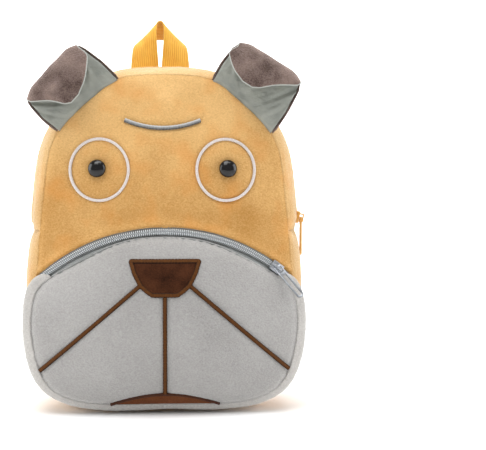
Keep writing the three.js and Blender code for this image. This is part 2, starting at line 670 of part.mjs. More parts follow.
function buildMuzzle() {
  const noseHalf = (drop) => (fromTable(NOSE_SHAPE, "drop", "half", drop) * NOSE_WIDTH) / 2;
  const noseRows = steps(8).map((drop) => ({
    half: noseHalf(drop),
    z: NOSE_TOP - NOSE_HEIGHT * drop,
  }));
  piece("nose_patch", patch(noseRows, NOSE_THICKNESS), NOSE_PLUSH);

  const panelFoot = pocketRadius(-Math.PI / 2) - SEAM_GAP;
  const mouthFoot = pocketCentre.z - panelFoot + GAP;
  const mouthTop = (x) => mouthFoot + MOUTH_RISE * (1 - (x / MOUTH_HALF) ** 2);
  const mouthHalf = MOUTH_CUT * MOUTH_HALF;
  const mouthRows = steps(3).map((t) => ({ half: mouthHalf, z: (x) => mix(mouthTop(x), mouthFoot, t) }));
  piece("mouth_patch", patch(mouthRows, NOSE_THICKNESS), NOSE_PLUSH);

  const line = (from, to, count) =>
    steps(count).map((t) => ({ x: mix(from.x, to.x, t), z: mix(from.z, to.z, t) }));
  const clear = LINE_WIDTH / 2 + GAP;
  const noseFoot = { x: 0, z: NOSE_TOP - NOSE_HEIGHT - GAP };
  const mouthRim = { x: 0, z: mouthTop(0) + GAP };
  const centre = line(noseFoot, mouthRim, 9);
  piece("mouth_line_centre", stitchedLine(pocketY, centre, LINE_WIDTH), BROWN_THREAD);
  for (const [name, side] of [["left", -1], ["right", 1]]) {
    const startHalf = noseHalf(NOSE_LINE_SHARE) + clear;
    const start = { x: side * startHalf, z: NOSE_TOP - NOSE_HEIGHT * NOSE_LINE_SHARE };
    const end = { x: side * CHEEK_END_HALF, z: CHEEK_END_HEIGHT };
    const cheek = line(start, end, 12);
    piece("mouth_line_" + name, stitchedLine(pocketY, cheek, LINE_WIDTH), BROWN_THREAD);
  }
}

// An ear stands on the seam and folds forward; plush outside, satin inside
function earGrid({ side, lean, stand: standShare, flap: flapShare, sweep }) {
  const stand = EAR_STAND * standShare;
  const flap = EAR_FLAP * flapShare;
  const angle = side > 0 ? degrees(EAR_CENTRE_ANGLE) : Math.PI - degrees(EAR_CENTRE_ANGLE);
  const root = seamPoint(angle);
  const square = seamNormal(angle);
  const heading = Math.atan2(square.z, square.x) - side * degrees(lean);
  const out = { x: Math.cos(heading), z: Math.sin(heading) };
  const along = { x: out.z, z: -out.x };
  const bend = Math.PI - degrees(EAR_FLAP_SPREAD);
  const bendLength = bend * EAR_FOLD_RADIUS;
  const route = (s) => {
    if (s < stand) return { out: s, forward: 0, along: s / stand };
    const turned = Math.min(s - stand, bendLength) / EAR_FOLD_RADIUS;
    const rest = Math.max(0, s - stand - bendLength);
    return {
      along: 1 + turned / bend + rest / flap,
      out: stand + EAR_FOLD_RADIUS * Math.sin(turned) + rest * Math.cos(bend),
      forward: EAR_FOLD_RADIUS * (1 - Math.cos(turned)) + rest * Math.sin(bend),
    };
  };
  const halfAngle = EAR_BASE / 2 / bodyRadius(angle);
  const rows = [
    ...between(0, stand, 3),
    ...between(stand, stand + bendLength, 5).slice(1),
    ...between(stand + bendLength, stand + bendLength + flap, 4).slice(1),
  ];
  return rows.map((reach) => {
    const { out: rise, forward, along: t } = route(reach);
    const half = (fromTable(EAR_WIDTHS, "along", "half", t) * EAR_BASE) / 2;
    const swept = fromTable(EAR_WIDTHS, "along", "shift", t) + sweep * Math.max(0, t - 2);
    const shift = (swept * EAR_BASE) / 2;
    const settled = 1 - smoothstep(reach, 0, stand);
    return steps(4).map((u) => {
      const share = 2 * u - 1;
      const seam = seamPoint(angle - side * share * halfAngle);
      const slack = (seam.x - root.x) * out.x + (seam.z - root.z) * out.z;
      const lift = rise + slack * settled;
      const across = side * (share * half + shift);
      const x = root.x + along.x * across + out.x * lift;
      const z = root.z + along.z * across + out.z * lift;
      const inFront = EAR_PLUSH + GAP / 2 + GAP;
      return vec(x, frontSeamY(z) - inFront - forward, z);
    });
  });
}

function buildEars() {
  const back = vec(0, 0, 1);
  for (const ear of EARS) {
    const { name } = ear;
    const grid = earGrid(ear);
    piece("ear_plush_" + name, sheetSolid(grid, GAP / 2, GAP / 2 + EAR_PLUSH, back), BROWN_PLUSH);
    const lining = sheetSolid(grid, -GAP / 2 - EAR_LINING, -GAP / 2, back);
    piece("ear_lining_" + name, lining, GREY_SATIN);
  }
}

// Sets a mesh or group at a point, with its own +X and +Z along the given directions
function place(object, origin, alongX, alongZ) {
  const z = alongZ.clone().normalize();
  const y = z.clone().cross(alongX).normalize();
  const x = y.clone().cross(z);
  object.quaternion.setFromRotationMatrix(new THREE.Matrix4().makeBasis(x, y, z));
  object.position.copy(origin);
}

// Zip slider: a plate over the coil with a flange on each side, and a bridge that holds the pull.
// Its own frame has +X along the zip, +Y across it, +Z away from the bag, and the coil's top at height 0.
const sliderDeck = GAP + SLIDER_PLATE;
const pivotHeight = sliderDeck + PIVOT_CLEARANCE + PULL_THICKNESS / 2;
const bridgeReach = SLIDER_LENGTH * BRIDGE_REACH;
const coilSlope = Math.asin(
  (coilRadius(degrees(POCKET_SLIDER_AT)) * Math.cos(degrees(POCKET_SLIDER_AT))) / coilArcRadius,
);
const pullTwist = degrees(POCKET_PULL_DROP) - coilSlope;

function block(width, depth, bottom, top, y = 0) {
  return new THREE.BoxGeometry(width, depth, top - bottom).translate(0, y, (bottom + top) / 2);
}

function sliderGeometry() {
  const inner = COIL_WIDTH / 2 + GAP;
  const plate = block(SLIDER_LENGTH, 2 * (inner + FLANGE), GAP, sliderDeck);
  const flangeFoot = GAP + TAPE_THICKNESS - COIL_HEIGHT;
  const flanges = [-1, 1].map((side) =>
    block(SLIDER_LENGTH, FLANGE, flangeFoot, sliderDeck, side * (inner + FLANGE / 2)),
  );
  const inside = sliderDeck + 2 * PIVOT_CLEARANCE + PULL_THICKNESS;
  const outside = inside + BRIDGE_BAR;
  const foot = sliderDeck - SLIDER_PLATE / 2;
  const chamfer = BRIDGE_BAR / 2;
  const arch = new THREE.Shape();
  arch.moveTo(-bridgeReach, foot);
  arch.lineTo(bridgeReach, foot);
  arch.lineTo(bridgeReach, outside - chamfer);
  arch.lineTo(bridgeReach - chamfer, outside);
  arch.lineTo(-bridgeReach + chamfer, outside);
  arch.lineTo(-bridgeReach, outside - chamfer);
  const window = bridgeReach - BRIDGE_BAR;
  const opening = new THREE.Path();
  opening.moveTo(-window, sliderDeck);
  opening.lineTo(-window, inside);
  opening.lineTo(window, inside);
  opening.lineTo(window, sliderDeck);
  arch.holes.push(opening);
  const bridge = new THREE.ExtrudeGeometry(arch, { depth: BRIDGE_WIDTH, bevelEnabled: false });
  bridge.translate(0, 0, -BRIDGE_WIDTH / 2).rotateX(Math.PI / 2);
  return joined([plate, ...flanges, bridge]);
}

// Pull: a long flat link with a round end. The bar at its near end sits under the slider's bridge. Its own
// frame has that bar along Y through the origin, and its length along +X.
function pullGeometry() {
  const half = PULL_WIDTH / 2;
  const bar = PULL_THICKNESS / 2;
  const round = PULL_LENGTH - half;
  const outline = new THREE.Shape();
  outline.moveTo(-bar, -half);
  outline.lineTo(round, -half);
  outline.absarc(round, 0, half, -Math.PI / 2, Math.PI / 2);
  outline.lineTo(-bar, half);
  const turned = (BRIDGE_WIDTH / 2) * Math.cos(pullTwist) + bridgeReach * Math.sin(pullTwist);
  const eyeHalf = turned + GAP;
  const eye = new THREE.Path();
  eye.moveTo(bar, -eyeHalf);
  eye.lineTo(bar, eyeHalf);
  eye.lineTo(PULL_EYE, eyeHalf);
  eye.lineTo(PULL_EYE, -eyeHalf);
  const slotHalf = half - PULL_RAIL;
  const slot = new THREE.Path();
  slot.moveTo(PULL_EYE + PULL_BAR, -slotHalf);
  slot.lineTo(PULL_EYE + PULL_BAR, slotHalf);
  slot.lineTo(round, slotHalf);
  slot.absarc(round, 0, slotHalf, Math.PI / 2, -Math.PI / 2, true);
  outline.holes.push(eye, slot);
  const settings = { depth: PULL_THICKNESS, bevelEnabled: false, curveSegments: 8 };
  return new THREE.ExtrudeGeometry(outline, settings).translate(0, 0, -bar);
}

function buildZipPulls() {
  const out = vec(1, 0, 0);
  const step = degrees(1);
  const at = degrees(MAIN_SLIDER_AT);
  const coilTop = GAP - ZIP_SUNK + COIL_HEIGHT;
  const mainSeat = gussetPoint(at, 0.5, coilTop);
  const mainDown = gussetPoint(at - step, 0.5, coilTop).sub(gussetPoint(at + step, 0.5, coilTop));
  const mainSlider = piece("main_zip_slider", sliderGeometry(), YELLOW_METAL);
  place(mainSlider, mainSeat, mainDown, mainDown.clone().cross(vec(0, 1, 0)));
  const mainPivot = vec(0, 0, pivotHeight).applyQuaternion(mainSlider.quaternion).add(mainSeat);
  const mainPull = piece("main_zip_pull", pullGeometry(), YELLOW_METAL);
  place(mainPull, mainPivot, vec(0, 0, -1), out);

  const pocketAt = degrees(POCKET_SLIDER_AT);
  const seat = aroundPocket(pocketAt, coilRadius(pocketAt));
  const normal = surfaceNormal(faceY, seat.x, seat.z);
  const pocketSeat = vec(seat.x, faceY(seat.x, seat.z), seat.z);
  pocketSeat.addScaledVector(normal, GAP + COIL_HEIGHT);
  const along = vec(Math.cos(coilSlope), 0, -Math.sin(coilSlope));
  const pocketSlider = piece("pocket_zip_slider", sliderGeometry(), GREY_METAL);
  place(pocketSlider, pocketSeat, along, normal);
  const pocketPivot = vec(0, 0, pivotHeight).applyQuaternion(pocketSlider.quaternion).add(pocketSeat);
  const tilt = degrees(POCKET_PULL_TILT);
  const turned = pocketSlider.quaternion;
  const hanging = vec(Math.cos(pullTwist), -Math.sin(pullTwist), 0).applyQuaternion(turned);
  const outward = vec(0, 0, 1).applyQuaternion(turned);
  const lying = hanging.clone().multiplyScalar(Math.cos(tilt)).addScaledVector(outward, Math.sin(tilt));
  const facing = outward.clone().multiplyScalar(Math.cos(tilt)).addScaledVector(hanging, -Math.sin(tilt));
  const pocketPull = piece("pocket_zip_pull", pullGeometry(), GREY_METAL);
  place(pocketPull, pocketPivot, lying, facing);
}

// The carry loop is one webbing folded over so that its two ends come down side by side
function buildLoop() {
  const edge = (which) => {
    const half = LOOP_EDGES.map((row) => {
      const down = row[which + "Down"] * LOOP_HEIGHT + (row[which + "Down"] === 1 ? LOOP_TAIL : 0);
      return vec(-row[which + "Out"] * LOOP_HALF, row[which + "Back"] * LOOP_HALF, -down);
    });
    const other = half.slice(0, -1).reverse().map((p) => vec(-p.x, p.y, p.z));
    return new THREE.CatmullRomCurve3([...half, ...other]);
  };
  const apex = vec(LOOP_SHIFT, backSeamY + LOOP_BEHIND, SEAM_TOP + LOOP_HEIGHT);
  const inner = edge("inner");
  const outer = edge("outer");
  const grid = steps(30).map((t) =>
    steps(2).map((u) => inner.getPoint(t).lerp(outer.getPoint(t), u).add(apex)),
  );
  const half = WEB_THICKNESS / 2;
  piece("carry_loop", sheetSolid(grid, -half, half, vec(0, 0, 1)), YELLOW_WEBBING);
}

// A path with its corners rounded off, and a webbing laid along it
function roundedPath(points, radius) {
  return points.flatMap((p, i) => {
    if (i === 0 || i === points.length - 1) return [p];
    const from = points[i - 1].clone().sub(p).setLength(radius).add(p);
    const to = points[i + 1].clone().sub(p).setLength(radius).add(p);
    const middle = from.clone().add(to).multiplyScalar(0.25).addScaledVector(p, 0.5);
    return [from, middle, to];
  });
}

function webbing(points) {
  const grid = roundedPath(points, WEB_THICKNESS).map((p) =>
    [-0.5, 0.5].map((side) => vec(side * WEB_WIDTH, p.y, p.z)),
  );
  return sheetSolid(grid, -WEB_THICKNESS / 2, WEB_THICKNESS / 2, vec(0, 1, 0));
}

// Shoulder strap, in a frame at the top seam's height. Its lower end is cut at the buckle's angle.
function strapGeometry(turn) {
  const points = STRAP_ROUTE.map((row) =>
    vec(0, backSeamY + STRAP_STAND * row.behind, SEAM_TOP * (row.height - 1)),
  );
  points.push(vec(0, backSeamY + BUCKLE_BEHIND, STRAP_BOTTOM - SEAM_TOP));
  const rows = STRAP_ROWS;
  const columns = STRAP_COLUMNS;
  const route = new THREE.CatmullRomCurve3(points, false, "centripetal");
  const length = route.getLength();
  const grid = route.getSpacedPoints(rows).map((p, i) => {
    const share = i / rows;
    const toEnd = Math.min(1, ((1 - share) * length) / STRAP_CORNER);
    const half = STRAP_WIDTH / 2 - STRAP_CORNER * (1 - Math.sqrt(1 - (1 - toEnd) ** 2));
    const skew = Math.tan(turn) * smoothstep(share, 0.75, 1);
    return between(-half, half, columns).map((x) => vec(x, p.y, p.z + x * skew));
  });
  const thickness = (i, j) => {
    const across = 1 - Math.abs((2 * j) / columns - 1) ** 4;
    const end = Math.min(1, (rows - i) / 2, i / 2);
    return (STRAP_THICKNESS / 2) * mix(STRAP_EDGE_SHARE, 1, across * end);
  };
  return sheetSolid(grid, (i, j) => -thickness(i, j), thickness, vec(0, 1, 0));
}

// Ladder-lock buckle, in a frame at the middle of the strap's lower end
const buckleTop = -STUB_SHOWS;
const windowTop = buckleTop - TOP_BAR;
const windowFoot = windowTop - BUCKLE_WINDOW;
const slotTop = windowFoot - MIDDLE_BAR;
const slotFoot = slotTop - LOWER_SLOT;

function buckleGeometry() {
  const half = BUCKLE_WIDTH / 2;
  const outline = new THREE.Shape();
  const shoulder = slotFoot - BUCKLE_SIDE / 2;
  const foot = slotFoot - BUCKLE_TAB;
  outline.moveTo(-half, shoulder);
  const wide = half * TAB_FULLNESS;
  const narrow = half * TAB_ROUNDNESS;
  outline.bezierCurveTo(-wide, foot, -narrow, foot, 0, foot);
  outline.bezierCurveTo(narrow, foot, wide, foot, half, shoulder);
  outline.lineTo(half, buckleTop - BUCKLE_CORNER);
  outline.quadraticCurveTo(half, buckleTop, half - BUCKLE_CORNER, buckleTop);
  outline.lineTo(-half + BUCKLE_CORNER, buckleTop);
  outline.quadraticCurveTo(-half, buckleTop, -half, buckleTop - BUCKLE_CORNER);
  const inner = half - BUCKLE_SIDE;
  for (const [top, low] of [[windowTop, windowFoot], [slotTop, slotFoot]]) {
    const hole = new THREE.Path();
    hole.moveTo(-inner, low);
    hole.lineTo(-inner, top);
    hole.lineTo(inner, top);
    hole.lineTo(inner, low);
    outline.holes.push(hole);
  }
  const settings = { depth: BUCKLE_THICKNESS, bevelEnabled: false, curveSegments: 6 };
  const plate = new THREE.ExtrudeGeometry(outline, settings);
  return plate.rotateX(Math.PI / 2).translate(0, backSeamY + BUCKLE_BEHIND + BUCKLE_THICKNESS / 2, 0);
}

function buildHarness({ name, side, lean, turn }) {
  const harness = new THREE.Group();
  harness.position.set((side * STRAP_SPACING) / 2, 0, SEAM_TOP);
  harness.rotation.y = -side * degrees(lean);
  bag.add(harness);
  const turned = -side * degrees(turn);
  piece("strap_" + name, strapGeometry(-turned), BROWN_PLUSH, harness);

  const lower = new THREE.Group();
  lower.position.z = STRAP_BOTTOM - SEAM_TOP;
  lower.rotation.y = turned;
  harness.add(lower);
  const middle = backSeamY + BUCKLE_BEHIND;
  const beside = BUCKLE_THICKNESS / 2 + GAP + WEB_THICKNESS / 2;
  const past = GAP + WEB_THICKNESS / 2;
  const close = WEB_THICKNESS / 2 + GAP / 2;
  const stub = [
    vec(0, middle + close, -SEAM_GAP),
    vec(0, middle + beside, buckleTop),
    vec(0, middle + beside, windowTop - past),
    vec(0, middle - beside, windowTop - past),
    vec(0, middle - beside, buckleTop),
    vec(0, middle - close, -SEAM_GAP),
  ];
  piece("strap_stub_" + name, webbing(stub), YELLOW_WEBBING, lower);
  piece("buckle_" + name, buckleGeometry(), KHAKI_PLASTIC, lower);
  const inner = middle - beside - WEB_THICKNESS - GAP;
  const floor = -STRAP_BOTTOM;
  const run = [
    vec(0, backSeamY + WEB_START_BEHIND, floor + WEB_START_HEIGHT),
    vec(0, inner, slotFoot),
    vec(0, inner, windowFoot + past),
    vec(0, middle + beside, windowFoot + past),
    vec(0, middle + beside, slotTop - past),
    vec(0, middle - beside, slotTop - past),
    vec(0, middle - beside, floor + TAIL_CLEAR),
  ];
  piece("strap_webbing_" + name, webbing(run), YELLOW_WEBBING, lower);
}

buildBody();
buildPocket();
buildEyes();
buildMuzzle();
buildEars();
buildZipPulls();
buildLoop();
HARNESSES.forEach(buildHarness);

export default bag;
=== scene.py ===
# A plush backpack for a small child, in the form of a dog's head, standing on its flat base.
# Lengths in the tables are millimetres; +X is the viewer's right, -Y the face side, +Z up.
import math

import bmesh
import bpy
import numpy as np
from mathutils import Matrix, Vector, noise


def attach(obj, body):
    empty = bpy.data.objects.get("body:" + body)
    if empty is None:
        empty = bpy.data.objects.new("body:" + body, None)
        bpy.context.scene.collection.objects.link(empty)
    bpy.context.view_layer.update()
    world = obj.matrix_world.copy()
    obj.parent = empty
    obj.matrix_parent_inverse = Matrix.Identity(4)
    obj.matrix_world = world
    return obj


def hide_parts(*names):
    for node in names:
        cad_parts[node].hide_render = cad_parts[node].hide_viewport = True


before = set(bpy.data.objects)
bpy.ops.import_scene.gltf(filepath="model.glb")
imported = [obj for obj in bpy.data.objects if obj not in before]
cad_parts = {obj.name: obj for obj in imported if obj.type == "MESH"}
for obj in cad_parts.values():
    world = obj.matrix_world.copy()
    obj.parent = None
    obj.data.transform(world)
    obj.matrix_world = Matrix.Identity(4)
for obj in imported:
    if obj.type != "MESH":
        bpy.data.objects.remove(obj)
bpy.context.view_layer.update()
MM = 0.001


def placed(name, data):
    """An object in the scene around its data."""
    thing = bpy.data.objects.new(name, data)
    bpy.context.scene.collection.objects.link(thing)
    return thing


def aimed(place, target):
    """The turn that points a camera or a lamp at a place in that of a target."""
    return (Vector(target) - Vector(place)).to_track_quat("-Z", "Y").to_euler()


# The camera stands straight in front of the bag, a little above its middle, and is turned to the right, so
# that the bag stands in the left part of the picture.
CAMERA_PLACE = (0.004, -0.9, 0.167)
CAMERA_TARGET = (0.0599, -0.03, 0.1422)
camera = placed("camera", bpy.data.cameras.new("camera"))
bpy.context.scene.camera = camera
camera.data.lens = 83.9
camera.data.sensor_width = 36
camera.data.clip_end = 20
camera.location = CAMERA_PLACE
camera.rotation_euler = aimed(CAMERA_PLACE, CAMERA_TARGET)

# A white paper table, with the same paper rising far behind the bag, as in a photographer's sweep.
TABLE_Z = -0.0004
SWEEP = [(-3.5, -2.5, TABLE_Z), (3.5, -2.5, TABLE_Z), (3.5, 2.5, TABLE_Z), (-3.5, 2.5, TABLE_Z),
         (3.5, 3.1, TABLE_Z + 3.2), (-3.5, 3.1, TABLE_Z + 3.2)]
mesh = bpy.data.meshes.new("sweep")
mesh.from_pydata(SWEEP, [], [(0, 1, 2, 3), (3, 2, 4, 5)])
sweep = placed("sweep", mesh)
paper = bpy.data.materials.new("white paper")
paper.use_nodes = True
sockets = paper.node_tree.nodes["Principled BSDF"].inputs
sockets["Base Color"].default_value = (0.96, 0.96, 0.96, 1)
sockets["Roughness"].default_value = 0.9
mesh.materials.append(paper)

# Soft boxes, and a bright surround that fills the shadows. A row is a name, a place, a target and a width, in
# metres, and a power in watts.
LIGHTS = [
    ("key", (-0.3, -0.8, 1.45), (0, 0, 0.16), 0.8, 6.5),
    ("top", (0, -0.05, 1.4), (0, 0, 0.1), 1.2, 14),
    ("left", (-1.2, -0.1, 0.5), (0, 0, 0.13), 1.0, 9),
    ("right", (1.2, -0.1, 0.5), (0, 0, 0.13), 1.0, 9),
    ("rear", (-0.3, 1.3, 0.9), (0, 0, 0.14), 1.2, 5),
    ("wash", (0, 1.1, 1.3), (0, 2.6, 0.5), 1.5, 60),
]
for name, place, target, width, power in LIGHTS:
    lamp = bpy.data.lights.new(name, "AREA")
    lamp.shape = "SQUARE"
    lamp.size = width
    lamp.energy = power
    holder = placed(name, lamp)
    holder.location = place
    holder.rotation_euler = aimed(place, target)
world = bpy.data.worlds.new("surround")
world.use_nodes = True
sockets = world.node_tree.nodes["Background"].inputs
sockets["Color"].default_value = (1, 1, 1, 1)
sockets["Strength"].default_value = 0.4
bpy.context.scene.world = world
bpy.context.scene.view_settings.view_transform = "Standard"

# The bag's body: two domed plush panels, front and back, sewn to a gusset that runs all the way round. The
# plush is short-piled polyester on thin foam, turned inside out after sewing, so that every seam is a groove.
# A row of an outline is a height and a half width, as shares.
SEAM_WIDTH = 195
SEAM_TOP = 259
SEAM_BOTTOM = 6
GUSSET_DEPTH = 66
TOP_TAPER = 10
SIDE_BULGE = 10
TOP_BULGE = 7
FACE_DOME = 12
BACK_DOME = 5
WALL = 3
BODY_CENTRE = (0, 135)
FRONT = (0, -1, 0)
REAR = (0, 1, 0)
UP = (0, 0, 1)
DOWN = (0, 0, -1)
BODY_OUTLINE = [(1, 0), (0.983, 0.4), (0.928, 0.6), (0.854, 0.8), (0.778, 0.9), (0.612, 0.962), (0.43, 1),
                (0.26, 1.008), (0.14, 0.98), (0.07, 0.895), (0.02, 0.71), (0, 0.42), (0, 0)]
MAIN_ZIP_END = 138
ZIP_PINCH = 0.2
ZIP_BAND = 15
PANEL_GROOVE = 1.0
GUSSET_GROOVE = 0.9
EAR_GROOVE = 1.6


def between(first, last, t, start, stop):
    return first + (last - first) * (t - start) / (stop - start)


def curve_between(p0, p1, p2, p3, count, closing=False):
    """Places on a smooth curve from the second to the third of four points."""
    t1, t2, t3 = np.cumsum([max(1e-3, np.sqrt(np.linalg.norm(b - a))) for a, b in ((p0, p1), (p1, p2), (p2, p3))])
    places = []
    for t in np.linspace(t1, t2, count, endpoint=closing):
        a1, a2, a3 = between(p0, p1, t, 0, t1), between(p1, p2, t, t1, t2), between(p2, p3, t, t2, t3)
        places.append(between(between(a1, a2, t, 0, t2), between(a2, a3, t, t1, t3), t, t1, t2))
    return places


def closed_outline(rows, width, bottom, top):
    """A smooth closed line through the rows of an outline and their mirror images."""
    right = [(half * width / 2, bottom + (top - bottom) * height) for height, half in rows]
    points = np.array(right + [(-x, z) for x, z in right[-2:0:-1]])
    return np.array([p for i in range(len(points)) for p in curve_between(*np.roll(points, 1 - i, 0)[:4], 40)])


def radius_around(line, centre):
    """Distance from a centre to the line, as a function of the direction."""
    east, up = (line - centre).T
    angle, radius = np.arctan2(up, east), np.hypot(east, up)
    order = np.argsort(angle)
    return lambda direction: np.interp(direction, angle[order], radius[order], period=2 * math.pi)


body_line = closed_outline(BODY_OUTLINE, SEAM_WIDTH, SEAM_BOTTOM, SEAM_TOP)
body_radius = radius_around(body_line, BODY_CENTRE)


def front_seam_y(z):
    return -GUSSET_DEPTH / 2 + TOP_TAPER * z / SEAM_TOP


def polar(x, z, centre, radius):
    """Direction from a centre and share of the way to the outline."""
    angle = np.arctan2(z - centre[1], x - centre[0])
    return angle, np.minimum(1, np.hypot(x - centre[0], z - centre[1]) / radius(angle))


def swell(x, z):
    """How far the padding of a panel stands out at a place, as a share of its middle's."""
    return 1 - polar(x, z, BODY_CENTRE, body_radius)[1] ** 2.6


def face_y(x, z):
    return front_seam_y(z) - FACE_DOME * swell(x, z)


def back_y(x, z):
    return GUSSET_DEPTH / 2 + BACK_DOME * swell(x, z)


def laid_on(depth, x, z):
    """Points on a panel, at places seen from the front."""
    return np.stack([x, depth(x, z), z], -1)


def unit(vectors):
    """The same directions, of length 1."""
    return vectors / np.maximum(np.linalg.norm(vectors, axis=-1, keepdims=True), 1e-9)


def steps_along(grid, ring=False):
    """The way from the point before to the point after, for each point of a line or a grid's columns."""
    return np.roll(grid, -1, 0) - np.roll(grid, 1, 0) if ring else np.gradient(grid, axis=0)


def way(line):
    """How far along a line, or along each column of a grid, its points are."""
    steps = np.linalg.norm(np.diff(line, axis=0), axis=-1)
    return np.concatenate([0 * steps[:1], np.cumsum(steps, 0)])


def seam_frame(angle):
    """A place on the body's seam and the outward direction there."""
    def at(a):
        return np.stack([body_radius(a) * np.cos(a), BODY_CENTRE[1] + body_radius(a) * np.sin(a)], -1)
    run = unit(at(angle + math.radians(1.5)) - at(angle - math.radians(1.5)))
    return at(angle), np.stack([run[..., 1], -run[..., 0]], -1)


def near(distance, reach, power=2):
    """1 on a line, little beyond a reach from it."""
    return np.exp(-(distance / reach) ** power)


def puckers(angle, first, second, phase=0):
    """Small pleats along a seam, of two numbers to the turn."""
    return (np.sin(angle * first) + np.sin(angle * second + phase))[:, None]


def soft(points, size, seed):
    """Smooth random heights, about -1 to 1, for folds of a given size in millimetres."""
    flat = points.reshape(-1, 3) / size
    heights = [noise.noise((x + seed * 7.3, y, z)) for x, y, z in flat]
    return np.array(heights).reshape(points.shape[:-1])


def normals_of(grid, facing, ring=False):
    """Surface directions of a grid of points, on the side that faces a given way."""
    normal = unit(np.cross(steps_along(grid, ring), np.gradient(grid, axis=1)))
    return -normal if normal[grid.shape[0] // 2, grid.shape[1] // 2] @ facing < 0 else normal


def quads(index, order=(0, 1, 2, 3)):
    """The four-sided faces between neighbours in a grid of point numbers."""
    corners = np.stack([index[:-1, :-1], index[1:, :-1], index[1:, 1:], index[:-1, 1:]], -1)
    return corners.reshape(-1, 4)[:, order]


def closed_piece(name, points, faces, places=None):
    """A smooth closed object, with its points' places across and along it as a UV layer."""
    mesh = bpy.data.meshes.new(name)
    mesh.from_pydata((points * MM).tolist(), [], faces)
    if places is not None:
        corners = np.empty(len(mesh.loops), int)
        mesh.loops.foreach_get("vertex_index", corners)
        mesh.uv_layers.new(name="run").data.foreach_set("uv", places[corners % len(places)].ravel())
    work = bmesh.new()
    work.from_mesh(mesh)
    bmesh.ops.remove_doubles(work, verts=work.verts, dist=1e-6)
    bmesh.ops.recalc_face_normals(work, faces=work.faces)
    work.to_mesh(mesh)
    work.free()
    mesh.shade_smooth()
    return placed(name, mesh)


def shell(name, grid, low, high, facing, ring=False, pole=False, relief=0):
    """A closed piece between two offsets of a grid of points, with relief on the outer side."""
    rows, columns = grid.shape[:2]
    normal = normals_of(grid, facing, ring)
    if pole:
        normal[:, 0] = normal[:, 1].mean(0)
    top = grid + normal * (np.asarray(high) + relief)[..., None]
    base = grid + normal * np.broadcast_to(low, grid.shape[:2])[..., None]
    points = np.concatenate([top.reshape(-1, 3), base.reshape(-1, 3)])
    index = np.arange(rows * columns).reshape(rows, columns)
    if ring:
        index = np.concatenate([index, index[:1]])
    both = np.stack([index, index + rows * columns], -1)
    faces = [quads(both[..., 0]), quads(both[..., 1], (0, 3, 2, 1)), quads(both[:, -1])]
    if not pole:
        faces.append(quads(both[:, 0], (1, 0, 3, 2)))
    if not ring:
        faces += [quads(both[0]), quads(both[-1], (1, 0, 3, 2))]
    along = np.broadcast_to(way(grid).mean(1)[:, None], (rows, columns))
    places = np.stack([way(grid.swapaxes(0, 1)).T, along], -1).reshape(-1, 2)
    return closed_piece(name, points, np.concatenate(faces).tolist(), places)


def dress(piece, finish, slot, *nodes, body="bag", fill=None):
    """Gives a piece its material, its body and the CAD pieces that it stands for."""
    piece.data.materials.clear()
    piece.data.materials.append(finish)
    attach(piece, body)
    if nodes:
        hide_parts(*nodes)


def colour(screen):
    """A colour given as it looks on a screen, 0 to 255, as the shaders take it."""
    return (*(c / 255 / 12.92 if c <= 10 else ((c / 255 + 0.055) / 1.055) ** 2.4 for c in screen), 1)


class Wire:
    """A number that flows between shader nodes and is worked with as numbers are."""

    def __init__(self, finish, socket):
        self.finish = finish
        self.socket = socket

    def __add__(self, other):
        return self.finish.maths("ADD", self, other)

    def __sub__(self, other):
        return self.finish.maths("SUBTRACT", self, other)

    def __rsub__(self, other):
        return self.finish.maths("SUBTRACT", other, self)

    def __mul__(self, other):
        return self.finish.maths("MULTIPLY", self, other)

    __radd__ = __add__
    __rmul__ = __mul__


